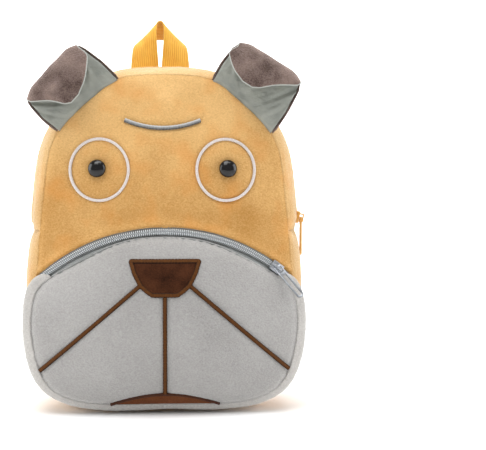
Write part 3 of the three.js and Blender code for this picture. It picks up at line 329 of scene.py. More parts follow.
class Finish:
    """A material that is built up node by node around one surface shader."""

    def __init__(self, name, **fixed):
        self.material = bpy.data.materials.new(name)
        self.material.use_nodes = True
        self.tree = self.material.node_tree
        self.shader = self.tree.nodes["Principled BSDF"]
        for socket, value in fixed.items():
            self.shader.inputs[socket.replace("_", " ")].default_value = value

    def add(self, kind, settings, sockets, output=0):
        node = self.tree.nodes.new(kind)
        for key, value in settings.items():
            setattr(node, key, value)
        for key, value in sockets.items():
            if isinstance(value, Wire):
                self.tree.links.new(value.socket, node.inputs[key])
            else:
                node.inputs[key].default_value = value
        return Wire(self, node.outputs[output])

    def maths(self, operation, *values):
        return self.add("ShaderNodeMath", {"operation": operation}, dict(enumerate(values)))

    def clamp(self, value, high=1.0):
        return self.add("ShaderNodeClamp", {}, {"Value": value, "Min": 0.0, "Max": high})

    def wave(self, run, pitch, kind="SINE"):
        """Up and down between 0 and 1, once for every pitch of a run, both in millimetres."""
        return 0.5 + 0.5 * self.maths(kind, run * (2 * math.pi / pitch))

    def feed(self, socket, wire):
        self.tree.links.new(wire.socket, self.shader.inputs[socket])

    def split(self, wire):
        """The three numbers of a place."""
        node = self.add("ShaderNodeSeparateXYZ", {}, {0: wire}).socket.node
        return [Wire(self, output) for output in node.outputs]

    def place(self):
        return self.add("ShaderNodeTexCoord", {}, {}, "Object")

    def run(self):
        """Places across and along the piece, in millimetres."""
        return self.add("ShaderNodeUVMap", {"uv_map": "run"}, {})

    def clouds(self, size, detail=2.0, stretch=(1, 1, 1), roughness=0.5):
        """Soft random shades, about 0 to 1, whose blots are a given size in millimetres."""
        spot = self.add("ShaderNodeMapping", {}, {"Vector": self.place(), "Scale": stretch})
        sockets = {"Vector": spot, "Scale": 1 / (size * MM), "Detail": detail, "Roughness": roughness}
        return self.add("ShaderNodeTexNoise", {}, sockets)

    def blend(self, share, first, second):
        """A colour between two others, each given as on a screen or as a wire."""
        first, second = (c if isinstance(c, Wire) else colour(c) for c in (first, second))
        factor, colour_a, colour_b, colour_result = 0, 6, 7, 2
        return self.add("ShaderNodeMix", {"data_type": "RGBA"}, {factor: share, colour_a: first, colour_b: second},
                        colour_result)

    def emboss(self, height, depth, strength):
        """Raises the surface by a height of 0 to 1 times a depth in millimetres."""
        bump = self.add("ShaderNodeBump", {}, {"Height": height, "Distance": depth * MM, "Strength": strength})
        self.feed("Normal", bump)


def clouded(name, size, detail, dark, light, **fixed):
    """A material whose colour drifts between two shades."""
    finish = Finish(name, **fixed)
    finish.feed("Base Color", finish.blend(finish.clouds(size, detail), dark, light))
    return finish


def plush(name, dark, light, glow, grain=1.1, depth=0.8, contrast=1.8, patch=38, sheen=1.0, blots=0.8,
          painted_light_from=None, warm=None):
    """Short-pile plush: patches where the pile lies one way or the other, a fine grain and a soft sheen. From a
    given height up its colour is painted lighter towards the top, a painted highlight for light from above; where it
    is brushed down it looks warmer."""
    finish = Finish(name, Roughness=0.95, Sheen_Weight=sheen, Sheen_Roughness=0.42, Sheen_Tint=colour(glow),
                    Specular_IOR_Level=0.12)
    patches = finish.clouds(patch, 2)
    tufts = finish.clouds(grain, 2.5, (1, 1, 1.3), 0.6)
    strands = finish.clouds(grain * 0.4, 1)
    shade = (patches - 0.5) * blots + (tufts - 0.5) * contrast + strands * 0.3 + 0.35
    # Painted light: the colour lightens with height, as if the top were lit from above.
    if painted_light_from is not None:
        heights = {"Value": finish.split(finish.place())[2], "From Min": painted_light_from * MM, "From Max": SEAM_TOP * MM,
                   "To Min": -0.22, "To Max": 0.3}
        shade = shade + finish.add("ShaderNodeMapRange", {}, heights)
    tone = finish.blend(finish.clamp(shade), dark, light)
    if warm is not None:
        tone = finish.blend(finish.clamp((finish.clouds(26, 2) - 0.5) * 2.2, 0.42), tone, warm)
    finish.feed("Base Color", tone)
    finish.emboss(tufts * 0.8 + strands * 0.3, depth, 0.85)
    return finish.material


# Both yellow plushes are painted lighter from 150 mm up, a painted highlight for light from above.
yellow_plush = plush("yellow plush", (174, 124, 60), (236, 193, 130), (255, 236, 196), grain=1.4, contrast=0.9,
                     painted_light_from=150, warm=(214, 142, 66))
# The gusset's plush is a paler copy of the yellow plush: painted sheen, the sides lighter as grazing light makes
# them.
sheen_painted_side_plush = plush("yellow plush painted paler at the sides", (178, 132, 72), (238, 202, 146), (255, 240, 210), grain=1.4,
                   contrast=0.9, painted_light_from=150, warm=(214, 142, 66))

# What is sewn to the face draws its plush in: the pocket's zip, the rings round the eyes and the wrinkle between.
COIL_WIDTH = 5
COIL_APEX = 137.4
COIL_SAG = 32
COIL_HALF = 90
COIL_ARC = (COIL_HALF ** 2 + COIL_SAG ** 2) / (2 * COIL_SAG)
POCKET_CENTRE = (0, 60)
FACE_SHIFT = -1.7
RING_AT = (48.2, 184.6)
RING_HALF = (22.2, 23.5)
EAR_AT = math.radians(58.7)
BROW_HALF = 28.8
BROW_AT = 222.5
BROW_SAG = 6
ZIP_LAP = 2.4
RING_DIP = 1.3
EYE_DIP = 1.2
BROW_DIP = 1.4


def coil_radius(angle):
    """Distance from the pocket's centre to the coil's arc."""
    drop = POCKET_CENTRE[1] - (COIL_APEX - COIL_ARC)
    half = drop * np.sin(angle)
    return np.sqrt(half ** 2 + COIL_ARC ** 2 - drop ** 2) - half


def stitched_dips(x, z):
    """How deep the face is drawn in at the rings, the wrinkle and the eyes, and how high it laps over the zip."""
    angle = np.arctan2(z - POCKET_CENTRE[1], x - POCKET_CENTRE[0])
    off = np.hypot(x - POCKET_CENTRE[0], z - POCKET_CENTRE[1]) - coil_radius(angle) - COIL_WIDTH / 2
    over_zip = np.clip((off - 0.6) / 1.2, 0, 1) * near(np.maximum(0, off - 2), reach=4) * (z > POCKET_CENTRE[1])
    depth = -ZIP_LAP * over_zip
    for side in (-1, 1):
        east, up = x - FACE_SHIFT - side * RING_AT[0], z - RING_AT[1]
        off = np.abs(np.hypot(east / RING_HALF[0], up / RING_HALF[1]) - 1) * RING_HALF[0]
        depth += RING_DIP * near(off, reach=2.6) + EYE_DIP * near(np.hypot(east, up), reach=9.5, power=4)
    east = np.clip((x - FACE_SHIFT) / BROW_HALF, -1, 1)
    off = np.hypot(z - BROW_AT + BROW_SAG * (1 - east ** 2), np.maximum(0, np.abs(x - FACE_SHIFT) - BROW_HALF))
    return depth + BROW_DIP * near(off, reach=3.2)


turn = np.linspace(0, 2 * math.pi, 433)[:-1]


def body_panel(name, depth, facing, seed):
    share = 1 - (1 - np.linspace(0, 1, 104)) ** 1.3
    radius = (body_radius(turn) - 0.4)[:, None] * share
    x = BODY_CENTRE[0] + radius * np.cos(turn)[:, None]
    z = BODY_CENTRE[1] + radius * np.sin(turn)[:, None]
    grid = laid_on(depth, x, z)
    to_seam = body_radius(turn)[:, None] - radius
    relief = 0.1 * puckers(turn, 61, 97, 2) * np.exp(-to_seam / 7) - PANEL_GROOVE * near(to_seam, reach=3)
    relief += 0.8 * soft(grid, 55, seed) * (1 - np.exp(-to_seam / 20)) + 0.25 * soft(grid, 17, seed + 3)
    if name == "face":
        ears = near(np.abs(np.cos(turn)) - math.cos(EAR_AT), reach=0.2, power=4) * (np.sin(turn) > 0)
        relief -= stitched_dips(x, z) + EAR_GROOVE * ears[:, None] * near(to_seam, reach=2.6)
    piece = shell(name, grid, -WALL, 0, facing, ring=True, pole=True, relief=relief)
    dress(piece, yellow_plush, "yellow_plush", name + "_panel", fill=0.4)


body_panel("face", face_y, FRONT, seed=1)
body_panel("back", back_y, REAR, seed=5)

# The gusset's lower half is one strip; its upper half is two, with the main zip between them.
zip_end = math.asin((MAIN_ZIP_END - BODY_CENTRE[1]) / float(body_radius(0)))
gap = 0.02 / float(body_radius(0))
half_band = ZIP_BAND / 2 / GUSSET_DEPTH


def gusset_grid(angle, across):
    """Places on the gusset: angle runs round it, across from the front seam at 0 to the back one at 1."""
    seam, out = seam_frame(angle)
    x, z, nx, nz = (v[:, None] for v in (seam[:, 0], seam[:, 1], out[:, 0], out[:, 1]))
    pinch = 1 - ZIP_PINCH * near(z - MAIN_ZIP_END, reach=8)
    fullness = (SIDE_BULGE + (TOP_BULGE - SIDE_BULGE) * np.maximum(0, nz)) * pinch
    bulge = fullness * (1 - np.abs(2 * across - 1) ** 2.4)
    y = front_seam_y(z) * (1 - across) + GUSSET_DEPTH / 2 * across
    return np.stack([x + nx * bulge, y, np.maximum(0, z + nz * bulge)], -1)


def gusset(name, node, angle, span, columns, sewn, facing, seed):
    """A strip of the gusset: span is its part of the way across, sewn which of its sides are in a seam."""
    across = np.linspace(*span, columns)[None, :]
    grid = gusset_grid(angle, across)
    first = (across - span[0]) * GUSSET_DEPTH
    last = GUSSET_DEPTH * (span[1] - span[0]) - first
    length = way(grid[:, columns // 2])
    ends = near(length, reach=3) + near(length[-1] - length, reach=3)
    sides = sewn[0] * near(first, reach=2.6) + sewn[1] * near(last, reach=2.6)
    relief = -GUSSET_GROOVE * (sides + ends[:, None])
    relief = relief + 0.12 * puckers(angle, 61, 97, 2) * (np.exp(-first / 8) + np.exp(-last / 8))
    folds = soft(grid * np.array([1, 1.6, 0.45]), 17, seed) * 1.3 + soft(grid, 50, seed + 2) * 1.2
    inside = np.clip(first / 9, 0, 1) * np.clip(last / 9, 0, 1)
    relief = (relief + folds * inside) * np.clip(grid[..., 2] / 6, 0, 1)
    piece = shell(name, grid, -WALL + 1, 0, facing, relief=relief)
    dress(piece, sheen_painted_side_plush, "yellow_plush", node, fill=0.4)


under = np.linspace(zip_end - gap, -math.pi - zip_end + gap, 330)
over = np.linspace(zip_end + gap, math.pi - zip_end - gap, 300)
gusset("gusset_base", "gusset_lower", under, (0, 1), 40, (1, 1), DOWN, seed=11)
gusset("gusset_top_front_plush", "gusset_top_front", over, (0, 0.5 - half_band), 16, (1, 0), UP, seed=13)
gusset("gusset_top_rear_plush", "gusset_top_rear", over, (0.5 + half_band, 1), 16, (0, 1), UP, seed=17)

# The front pocket is the dog's muzzle: a domed light grey plush panel sewn to a narrow plush rim, which is sewn
# to the face. Its upper edge is the lower side of the zip; the three lines of the mouth draw it in.
POCKET_WIDTH = 203
POCKET_TOP = 129.5
POCKET_BOTTOM = 7
POCKET_DEPTH = 14
POCKET_DOME = 18
POCKET_LIP = 5
POCKET_GROOVE = 1.2
POCKET_OUTLINE = [(1.034, 0), (1.017, 0.25), (0.98, 0.4), (0.91, 0.58), (0.825, 0.77), (0.765, 0.885),
                  (0.69, 0.965), (0.52, 1), (0.385, 0.987), (0.255, 0.953), (0.16, 0.905), (0.09, 0.835),
                  (0.03, 0.69), (0, 0.45), (0, 0)]
MOUTH_LINES = [((0, 88.5), (0, 16)), ((-22, 95), (-94, 33.5)), ((22, 95), (94, 33.5))]
ZIP_START = math.radians(27.2)
pocket_line = closed_outline(POCKET_OUTLINE, POCKET_WIDTH, POCKET_BOTTOM, POCKET_TOP)
pocket_radius = radius_around(pocket_line, POCKET_CENTRE)
seam_radius = radius_around(body_line, POCKET_CENTRE)


def smooth_step(share):
    return share * share * (3 - 2 * share)


def around_pocket(angle, radius):
    return POCKET_CENTRE[0] + radius * np.cos(angle), POCKET_CENTRE[1] + radius * np.sin(angle)


def pocket_edge_y(angle):
    x, z = around_pocket(angle, pocket_radius(angle))
    low = front_seam_y(z) - POCKET_DEPTH
    rise = np.clip(np.degrees(np.arcsin(np.sin(angle))) / 30, 0, 1)
    return low + (face_y(x, z) - POCKET_LIP - low) * smooth_step(rise)


def pocket_y(x, z):
    angle, share = polar(x, z, POCKET_CENTRE, pocket_radius)
    crown = front_seam_y(POCKET_CENTRE[1]) - POCKET_DEPTH - POCKET_DOME
    return crown + (pocket_edge_y(angle) - crown) * share ** 3


def to_line(x, z, start, end):
    """Distance from points to a stretch of straight line."""
    run = np.subtract(end, start)
    east, up = x - start[0], z - start[1]
    share = np.clip((east * run[0] + up * run[1]) / (run @ run), 0, 1)
    return np.hypot(east - share * run[0], up - share * run[1])


grey_plush = plush("grey plush", (147, 145, 143), (174, 172, 170), (255, 253, 250), grain=1.4)
# The rim's plush is a paler copy of the grey plush: painted sheen, the rim lighter as grazing light makes it.
sheen_painted_rim_plush = plush("grey plush painted pale for the rim's sheen", (172, 169, 165), (200, 197, 193), (255, 253, 250), grain=1.4)
share = (1 - (1 - np.linspace(0, 1, 60)) ** 1.5)[None, :]
radius = (pocket_radius(turn)[:, None] + 0.2) * share
x, z = around_pocket(turn[:, None], radius)
grid = laid_on(pocket_y, x, z)
to_seam = pocket_radius(turn)[:, None] - radius
relief = 0.8 * soft(grid, 48, 21) + 0.25 * soft(grid, 15, 23) - POCKET_GROOVE * near(to_seam, reach=3.2)
relief += 0.2 * puckers(turn, 67, 103) * np.exp(-to_seam / 7)
for start, end in MOUTH_LINES:
    relief -= near(to_line(x, z, start, end), reach=3.4)
muzzle = shell("muzzle", grid, -WALL + 1.2, 0, FRONT, ring=True, pole=True, relief=relief)
dress(muzzle, grey_plush, "grey_plush", "pocket_panel", fill=0.5)

# The rim runs from one end of the zip to the other below the muzzle, and tapers off at both.
angle = np.linspace(ZIP_START - 0.004, -math.pi - ZIP_START + 0.004, 320)
across = np.linspace(0, 1, 22)[None, :]
near_end = np.clip(np.minimum(angle[0] - angle, angle - angle[-1]) / math.radians(15), 0, 1)
lobe = (0.12 + 0.88 * np.sqrt(1 - (1 - near_end) ** 2))[:, None]
bulge = lobe * (4 + 4 * np.cos(angle) ** 2)[:, None] * (1 - (2 * across - 1) ** 2)
inner = pocket_radius(angle)[:, None]
outer = inner + (seam_radius(angle)[:, None] - inner) * lobe
x, z = around_pocket(angle[:, None], outer * (1 - across) + inner * across + bulge)
root_y = face_y(*around_pocket(angle[:, None], outer)) - 0.3
y = root_y * (1 - across) + pocket_edge_y(angle)[:, None] * across
grid = np.stack([x, y, z], -1)
relief = 0.4 * soft(grid, 20, 31) - 1.0 * near(across, reach=0.16) - 0.9 * near(1 - across, reach=0.2)
relief = relief + 0.2 * puckers(angle, 67, 103) * np.exp(-(1 - across) / 0.4)
rim = shell("muzzle_rim", grid, -1.6, 0, DOWN, relief=relief)
dress(rim, sheen_painted_rim_plush, "grey_plush", "pocket_rim", fill=0.4)

# The pocket's zip: a nylon coil between two woven grey tapes. The upper tape is sewn under the face, the lower
# one under the muzzle's edge; the painted slider stands near the right end with its long pull hanging down.
TOOTH_PITCH = 1.5
UNDER_RIM = 0.03


def woven(name, dark, light, rib, cross, depth=0.35, roughness=0.75):
    """Woven tape or webbing: ribs of a given pitch along its length and finer picks across it."""
    finish = Finish(name, Roughness=roughness, Sheen_Weight=0.2, Sheen_Roughness=0.4)
    across, along, _ = finish.split(finish.run())
    ribs, picks = finish.wave(across, rib), finish.wave(along, cross)
    shade = finish.clamp(ribs * 0.55 + picks * 0.2 + finish.clouds(9, 3) * 0.8 - 0.35)
    finish.feed("Base Color", finish.blend(shade, dark, light))
    finish.emboss(ribs * 0.7 + picks * 0.3, depth, 0.8)
    return finish.material


def teeth(name, dark, light):
    """Nylon teeth: a painted shine on each tooth and painted shade between two, the two rows half a tooth apart."""
    finish = Finish(name, Roughness=0.35)
    across, along, _ = finish.split(finish.run())
    second_row = finish.maths("GREATER_THAN", across, COIL_WIDTH / 2)
    # Painted highlight on each tooth, painted shade between them.
    shine = finish.wave(along + second_row * (TOOTH_PITCH / 2), TOOTH_PITCH, "COSINE")
    finish.feed("Base Color", finish.blend(shine, dark, light))
    return finish.material


def face_grid(angle, radii):
    return laid_on(face_y, *around_pocket(angle[:, None], radii))


def coil_shell(name, grid, low, high, facing, height):
    """Two rows of rounded teeth that meet in the middle of the coil."""
    along = way(grid).mean(1)[:, None]
    across = np.linspace(-1, 1, grid.shape[1])
    humps = np.sqrt(np.clip(1 - ((np.abs(across) - 0.48) / 0.56) ** 2, 0, 1))
    tooth = 0.5 + 0.5 * np.cos(2 * math.pi * (along / TOOTH_PITCH + 0.5 * (across > 0)))
    return shell(name, grid, low, high, facing, relief=height * humps * (0.5 + 0.5 * tooth))


def zip_run(count):
    return np.linspace(ZIP_START - UNDER_RIM, math.pi - ZIP_START + UNDER_RIM, count)


grey_tape = woven("grey tape", (92, 95, 94), (158, 161, 159), rib=1.6, cross=0.8)
grey_coil = teeth("grey coil", (96, 100, 102), (220, 224, 226))
angle = zip_run(700)
grid = face_grid(angle, coil_radius(angle)[:, None] + np.linspace(-COIL_WIDTH / 2, COIL_WIDTH / 2, 13))
dress(coil_shell("pocket_coil", grid, 0.1, 0.35, FRONT, 2.4), grey_coil, "grey_coil", "pocket_zip_coil")

angle = zip_run(120)
beside = COIL_WIDTH / 2 + 0.1
upper = face_grid(angle, coil_radius(angle)[:, None] + np.linspace(beside, beside + 2.8, 5))
dress(shell("upper_tape", upper, 0.1, 0.8, FRONT), grey_tape, "grey_tape", "pocket_zip_tape_upper")
top = face_grid(angle, coil_radius(angle)[:, None] - np.array([[beside, beside + 1.9]]))
x, z = around_pocket(angle, pocket_radius(angle) - 1.5)
foot = np.stack([x, pocket_edge_y(angle) + 1.2, z], -1)[:, None]
share = np.linspace(0, 1, 10)[1:, None]
lower = np.concatenate([top, top[:, 1:] * (1 - share) + foot * share], 1)
dress(shell("lower_tape", lower, 0.1, 1.1, FRONT), grey_tape, "grey_tape", "pocket_zip_tape_lower")


def reshape(piece, kind, **settings):
    """Adds a modifier to the active piece and applies it."""
    change = piece.modifiers.new(kind, kind)
    for key, value in settings.items():
        setattr(change, key, value)
    bpy.ops.object.modifier_apply(modifier=kind)


def rounded_copy(node, name, edge, segments=2):
    """A cast or moulded piece with all its edges rounded off, made from the plain solid's shape."""
    piece = placed(name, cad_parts[node].data.copy())
    bpy.ops.object.select_all(action="DESELECT")
    piece.select_set(True)
    bpy.context.view_layer.objects.active = piece
    bpy.ops.object.mode_set(mode="EDIT")
    bpy.ops.mesh.select_all(action="SELECT")
    bpy.ops.mesh.remove_doubles(threshold=1e-6)
    bpy.ops.mesh.dissolve_limited(angle_limit=math.radians(1))
    bpy.ops.object.mode_set(mode="OBJECT")
    reshape(piece, "BEVEL", width=edge * MM, segments=segments, limit_method="ANGLE", angle_limit=math.radians(35))
    bpy.ops.object.shade_smooth_by_angle(angle=math.radians(40))
    return piece


def enamel(name, dark, light, metallic):
    """Cast zinc under paint, its colour drifting between two shades, with tiny dents."""
    finish = clouded(name, 3, 3, dark, light, Roughness=0.28, Metallic=metallic, Coat_Weight=0.3)
    finish.emboss(finish.clouds(1.2, 2), 0.05, 0.4)
    return finish.material


def slider_and_pull(which, finish, slot):
    """A zip's cast slider, and the pull that swings on its bridge."""
    slider, pull = which + "_zip_slider", which + "_zip_pull"
    dress(rounded_copy(slider, which + "_slider", edge=0.28), finish, slot, slider)
    dress(rounded_copy(pull, which + "_pull_link", edge=0.3), finish, slot, pull, body=which + "_pull")


slider_and_pull("pocket", enamel("grey enamel", (128, 131, 137), (206, 210, 216), metallic=0.8), "grey_metal")

# The main zip runs over the top of the gusset in the body's own yellow, tapes, coil, slider and pull alike.
yellow_tape = woven("yellow tape", (196, 136, 58), (233, 178, 92), rib=1.6, cross=0.8)
yellow_coil = teeth("yellow coil", (178, 120, 50), (240, 192, 116))


def gusset_middle(end_gap, rows, half_width):
    """A strip along the middle of the gusset's upper half."""
    half = half_width / GUSSET_DEPTH
    angle = np.linspace(zip_end + end_gap, math.pi - zip_end - end_gap, rows)
    return gusset_grid(angle, np.linspace(0.5 - half, 0.5 + half, 13)[None, :])


tape = shell("main_tape", gusset_middle(gap, 220, ZIP_BAND / 2 + 0.8), -1.8, -0.9, UP)
dress(tape, yellow_tape, "yellow_tape", "main_zip_tape")
coil = coil_shell("main_coil", gusset_middle(0.05, 1150, COIL_WIDTH / 2), -0.9, -0.7, UP, 2.1)
dress(coil, yellow_coil, "yellow_tape", "main_zip_coil")
slider_and_pull("main", enamel("yellow enamel", (205, 146, 60), (238, 184, 100), metallic=0.1), "yellow_metal")


# Satin stitch, the rings round the eyes and the wrinkle between them: bright threads laid side by side across
# a narrow line and drawn tight, so that the line stands proud and the plush beside it is pulled in.
def evenly(line, spacing, closed=False):
    """The same line with its points a given distance apart."""
    line = np.array(line, float)
    if closed:
        line = np.concatenate([line, line[:1]])
    length = way(line)
    at = np.linspace(0, length[-1], max(4, round(length[-1] / spacing)) + 1)
    if closed:
        at = at[:-1]
    return np.stack([np.interp(at, length, line[:, k]) for k in range(line.shape[1])], -1)


def satin_line(name, depth, line, width, height, closed=False, top=0.0):
    """A band of satin stitches along a line of (x, z) places on a panel, one ridge for each thread."""
    line = evenly(line, 0.3, closed)
    if len(line) % 2 and closed:
        line = line[:-1]
    run = unit(steps_along(line, closed))
    aside = np.stack([run[:, 1], -run[:, 0]], -1)
    across = np.linspace(-1, 1, 9)
    thread = np.arange(len(line))
    ragged = 1 + 0.05 * np.sin(thread * 2.4) + 0.04 * np.sin(thread * 0.77)
    places = line[:, None] + aside[:, None] * (across[None, :, None] * ragged[:, None, None] * width / 2)
    grid = laid_on(depth, places[..., 0], places[..., 1])
    relief = height * np.sqrt(1 - across ** 2)[None, :] - 0.16 * (thread % 2 == 0)[:, None]
    return shell(name, grid, -0.8, top, FRONT, ring=closed, relief=relief)


def satin(name, dark, light, shine=0.42, sheen=0.25, gloss=0.45, turned=None, shaded_sides_width=None):
    """Rayon thread, lighter and darker from thread to thread. A turned line is painted lighter at its first side and
    darker towards the other, a painted highlight and painted shade, and a rolled one has painted shade at both sides;
    either gives its width."""
    finish = Finish(name, Roughness=shine, Sheen_Weight=sheen, Sheen_Roughness=0.3, Specular_IOR_Level=gloss)
    run = finish.run()
    spot = finish.add("ShaderNodeMapping", {}, {"Vector": run, "Scale": (0.25, 1.6, 1)})
    strand = finish.add("ShaderNodeTexNoise", {}, {"Vector": spot, "Scale": 1.0, "Detail": 2.0})
    # Painted highlight along the first side, painted shade towards the other.
    if turned:
        strand = strand * 0.5 + 0.9 - finish.split(run)[0] * (1.2 / turned)
    # Painted shade at both sides of the band.
    if shaded_sides_width:
        side = finish.split(run)[0] * (2 / shaded_sides_width) - 1
        square = side * side
        strand = strand + 0.25 - square * square * 1.1
    finish.feed("Base Color", finish.blend(finish.clamp(strand), dark, light))
    return finish.material


pale_satin = satin("pale satin", (192, 182, 176), (232, 225, 222))
# The brow is painted light along its top side and dark along its lower side: painted highlight and painted shade.
grey_thread = satin("grey thread", (44, 44, 44), (188, 190, 190), turned=3.4)
circle = np.linspace(0, 2 * math.pi, 241)[:-1]
for side, label in ((-1, "left"), (1, "right")):
    ring = np.stack([FACE_SHIFT + side * RING_AT[0] + RING_HALF[0] * np.cos(circle),
                     RING_AT[1] + RING_HALF[1] * np.sin(circle)], -1)
    loop = satin_line("eye_satin_" + label, face_y, ring, width=2.15, height=0.75, closed=True)
    dress(loop, pale_satin, "white_thread", "eye_ring_" + label)
brow = [(FACE_SHIFT + BROW_HALF * s, BROW_AT - BROW_SAG * (1 - s * s)) for s in np.linspace(-1, 1, 60)]
dress(satin_line("brow_satin", face_y, brow, width=3.1, height=1.3), grey_thread, "grey_thread", "brow_line")

# The eyes are moulded buttons of glossy black plastic, pushed through the plush and locked from behind. The
# rounding draws them in, so they are made fuller again.
EYE_FULL = 1.09
eye_black = clouded("eye black", 5, 2, (5, 4, 4), (18, 14, 14), Roughness=0.12, Specular_IOR_Level=0.5)
for label in ("left", "right"):
    eye = rounded_copy("eye_button_" + label, "eye_" + label, edge=0.1, segments=1)
    reshape(eye, "SUBSURF", levels=2)
    bpy.ops.object.shade_smooth()
    middle = sum((v.co for v in eye.data.vertices), Vector()) / len(eye.data.vertices)
    fuller = Matrix.Diagonal((EYE_FULL, 1, EYE_FULL, 1))
    eye.data.transform(Matrix.Translation(middle) @ fuller @ Matrix.Translation(-middle))
    dress(eye, eye_black.material, "black_button", "eye_button_" + label)

# The nose is a patch of dark brown velvet with a satin-stitched border, and the mouth is drawn under it in
# lines of brown satin stitch that end in a crescent of short-pile brown cloth at the muzzle's lower seam.
NOSE_TOP = 117.4
NOSE_FOOT = 89.4
NOSE_HALF = 27
NOSE_BORDER = 1.6
NOSE_SHAPE = [(0, 1), (0.35, 0.9), (0.72, 0.73), (0.9, 0.54), (1, 0.4)]
MOUTH_HALF = 41
MOUTH_FOOT = 7.9
MOUTH_RISE = 8.5
# The brown satin is painted darker at both sides of each band: painted shade.
brown_satin = satin("brown satin", (30, 12, 2), (96, 56, 18), shine=0.6, sheen=0.0, gloss=0.15, shaded_sides_width=3.3)
dark_satin = satin("dark satin", (46, 20, 8), (76, 38, 16), shine=0.6, sheen=0.0, gloss=0.2)
velvet = plush("velvet", (36, 16, 6), (84, 48, 28), (120, 70, 40), grain=1.0, depth=0.4, contrast=1.0, patch=14,
               sheen=0.2, blots=1.4)
mouth_cloth = plush("mouth cloth", (80, 42, 22), (112, 68, 42), (150, 105, 78), grain=0.8, depth=0.5, contrast=2,
                    patch=20, sheen=0.2)


def nose_half(drop):
    return np.interp(drop, [d for d, _ in NOSE_SHAPE], [h for _, h in NOSE_SHAPE]) * NOSE_HALF


def mouth_top(x):
    return MOUTH_FOOT + MOUTH_RISE * (1 - (x / MOUTH_HALF) ** 2)


def cloth_patch(name, top, foot, half, rows, thickness):
    """A patch from a height down to a foot, each given for the places across it."""
    down = np.linspace(0, 1, rows)[:, None]
    side = np.linspace(-1, 1, 61)[None, :]
    x = side * half(down) + 0 * down
    z = top(x) * (1 - down) + foot * down + 0 * x
    rim = np.minimum(1 - np.abs(side), np.minimum(down, 1 - down) * 1.2)
    return shell(name, laid_on(pocket_y, x, z), -0.5, 0, FRONT, relief=thickness * (1 - np.exp(-(rim / 0.12))))


nose = cloth_patch("nose_velvet", lambda x: NOSE_TOP - 0.8, NOSE_FOOT + 0.8, lambda down: nose_half(down) * 0.94,
                   rows=60, thickness=0.75)
dress(nose, velvet, "nose_plush", "nose_patch")
side_z = np.linspace(NOSE_TOP - NOSE_BORDER, NOSE_FOOT + NOSE_BORDER, 30)
side_x = nose_half(np.linspace(0, 1, 30)) - NOSE_BORDER
outline = np.stack([np.concatenate([-side_x[::-1], side_x]), np.concatenate([side_z[::-1], side_z])], -1)
border = satin_line("nose_border", pocket_y, evenly(outline, 1, True), width=3.4, height=0.6, closed=True,
                    top=0.5)
dress(border, brown_satin, "brown_thread")
mouth = cloth_patch("mouth_crescent", mouth_top, MOUTH_FOOT, lambda down: 0.97 * MOUTH_HALF, rows=14,
                    thickness=0.7)
dress(mouth, mouth_cloth, "nose_plush", "mouth_patch")
lip = [(x, mouth_top(x) - 0.5) for x in np.linspace(-MOUTH_HALF, MOUTH_HALF, 90)]
dress(satin_line("mouth_lip", pocket_y, lip, width=1.9, height=0.6, top=0.4), dark_satin, "brown_thread")
for label, reach, (start, end) in zip(("centre", "left", "right"), (0.01, 0.04, 0.04), MOUTH_LINES):
    start = [a + (a - b) * reach for a, b in zip(start, end)]
    stitches = satin_line("mouth_satin_" + label, pocket_y, evenly([start, end], 1), width=3.1, height=0.9)
    dress(stitches, brown_satin, "brown_thread", "mouth_line_" + label)

# The ears are sewn into the front seam and folded forward. Outside they are long-worn brown plush; inside a
# smooth grey-green satin, whose pale rolled edge shows all round the flap.
EAR_BASE = 62
EAR_TUCK = 3
EAR_STAND = 25
EAR_FOLD = 6
EAR_FLAP = 26.5
EAR_SPREAD = math.radians(24)
# Stage (0 at the seam, 1 at the fold, 2 past it, 3 at the tip), half width and shift, in shares of half the base.
EAR_WIDTHS = [(0, 1, 0), (0.5, 1.02, 0), (1, 0.97, 0), (1.5, 0.9, 0), (2, 0.88, 0), (2.16, 0.82, -0.07),
              (2.35, 0.744, -0.14), (2.5, 0.63, -0.12), (2.69, 0.49, -0.06), (2.79, 0.41, -0.02), (2.89, 0.32, 0.04),
              (3, 0.1, 0.11)]
# Side, lean outwards in degrees, shares of the stand and of the flap, and how far the flap sweeps aside.
EARS = [("left", -1, 8, 1, 1, 0), ("right", 1, -8, 1.14, 0.88, -0.3)]
# Creases in the satin: start and end, each as shares of half the width and of the way to the tip, and a height.
EAR_FOLDED = 65
CREASE_REACH = 1.7
EAR_CREASES = [((-0.95, 0.4), (-0.3, 0.1), 0.9), ((0.95, 0.42), (0.35, 0.12), -0.9), ((0.3, 0.38), (-0.1, 0.16), 0.6),
               ((-0.7, 0.3), (-0.55, 0.02), -0.5), ((0.8, 0.22), (0.5, 0.0), 0.5)]
brown_plush = plush("brown plush", (74, 59, 54), (136, 117, 109), (214, 196, 188), depth=1.2, contrast=1.6,
                    patch=16, blots=2.2)
ear_satin = Finish("ear satin", Roughness=0.5, Sheen_Weight=0.3, Sheen_Roughness=0.35)
silky = ear_satin.clamp((ear_satin.clouds(16, 2) - 0.5) * 1.3 + 0.5)
ear_satin.feed("Base Color", ear_satin.blend(silky, (116, 120, 114), (166, 168, 158)))
ear_satin.emboss(ear_satin.clouds(0.7, 1) * 0.1 + ear_satin.clouds(8, 2, (1, 1, 1.6)), 2.2, 0.7)
piping = clouded("pale piping", 3, 2, (158, 162, 157), (194, 198, 192), Roughness=0.5, Sheen_Weight=0.3)


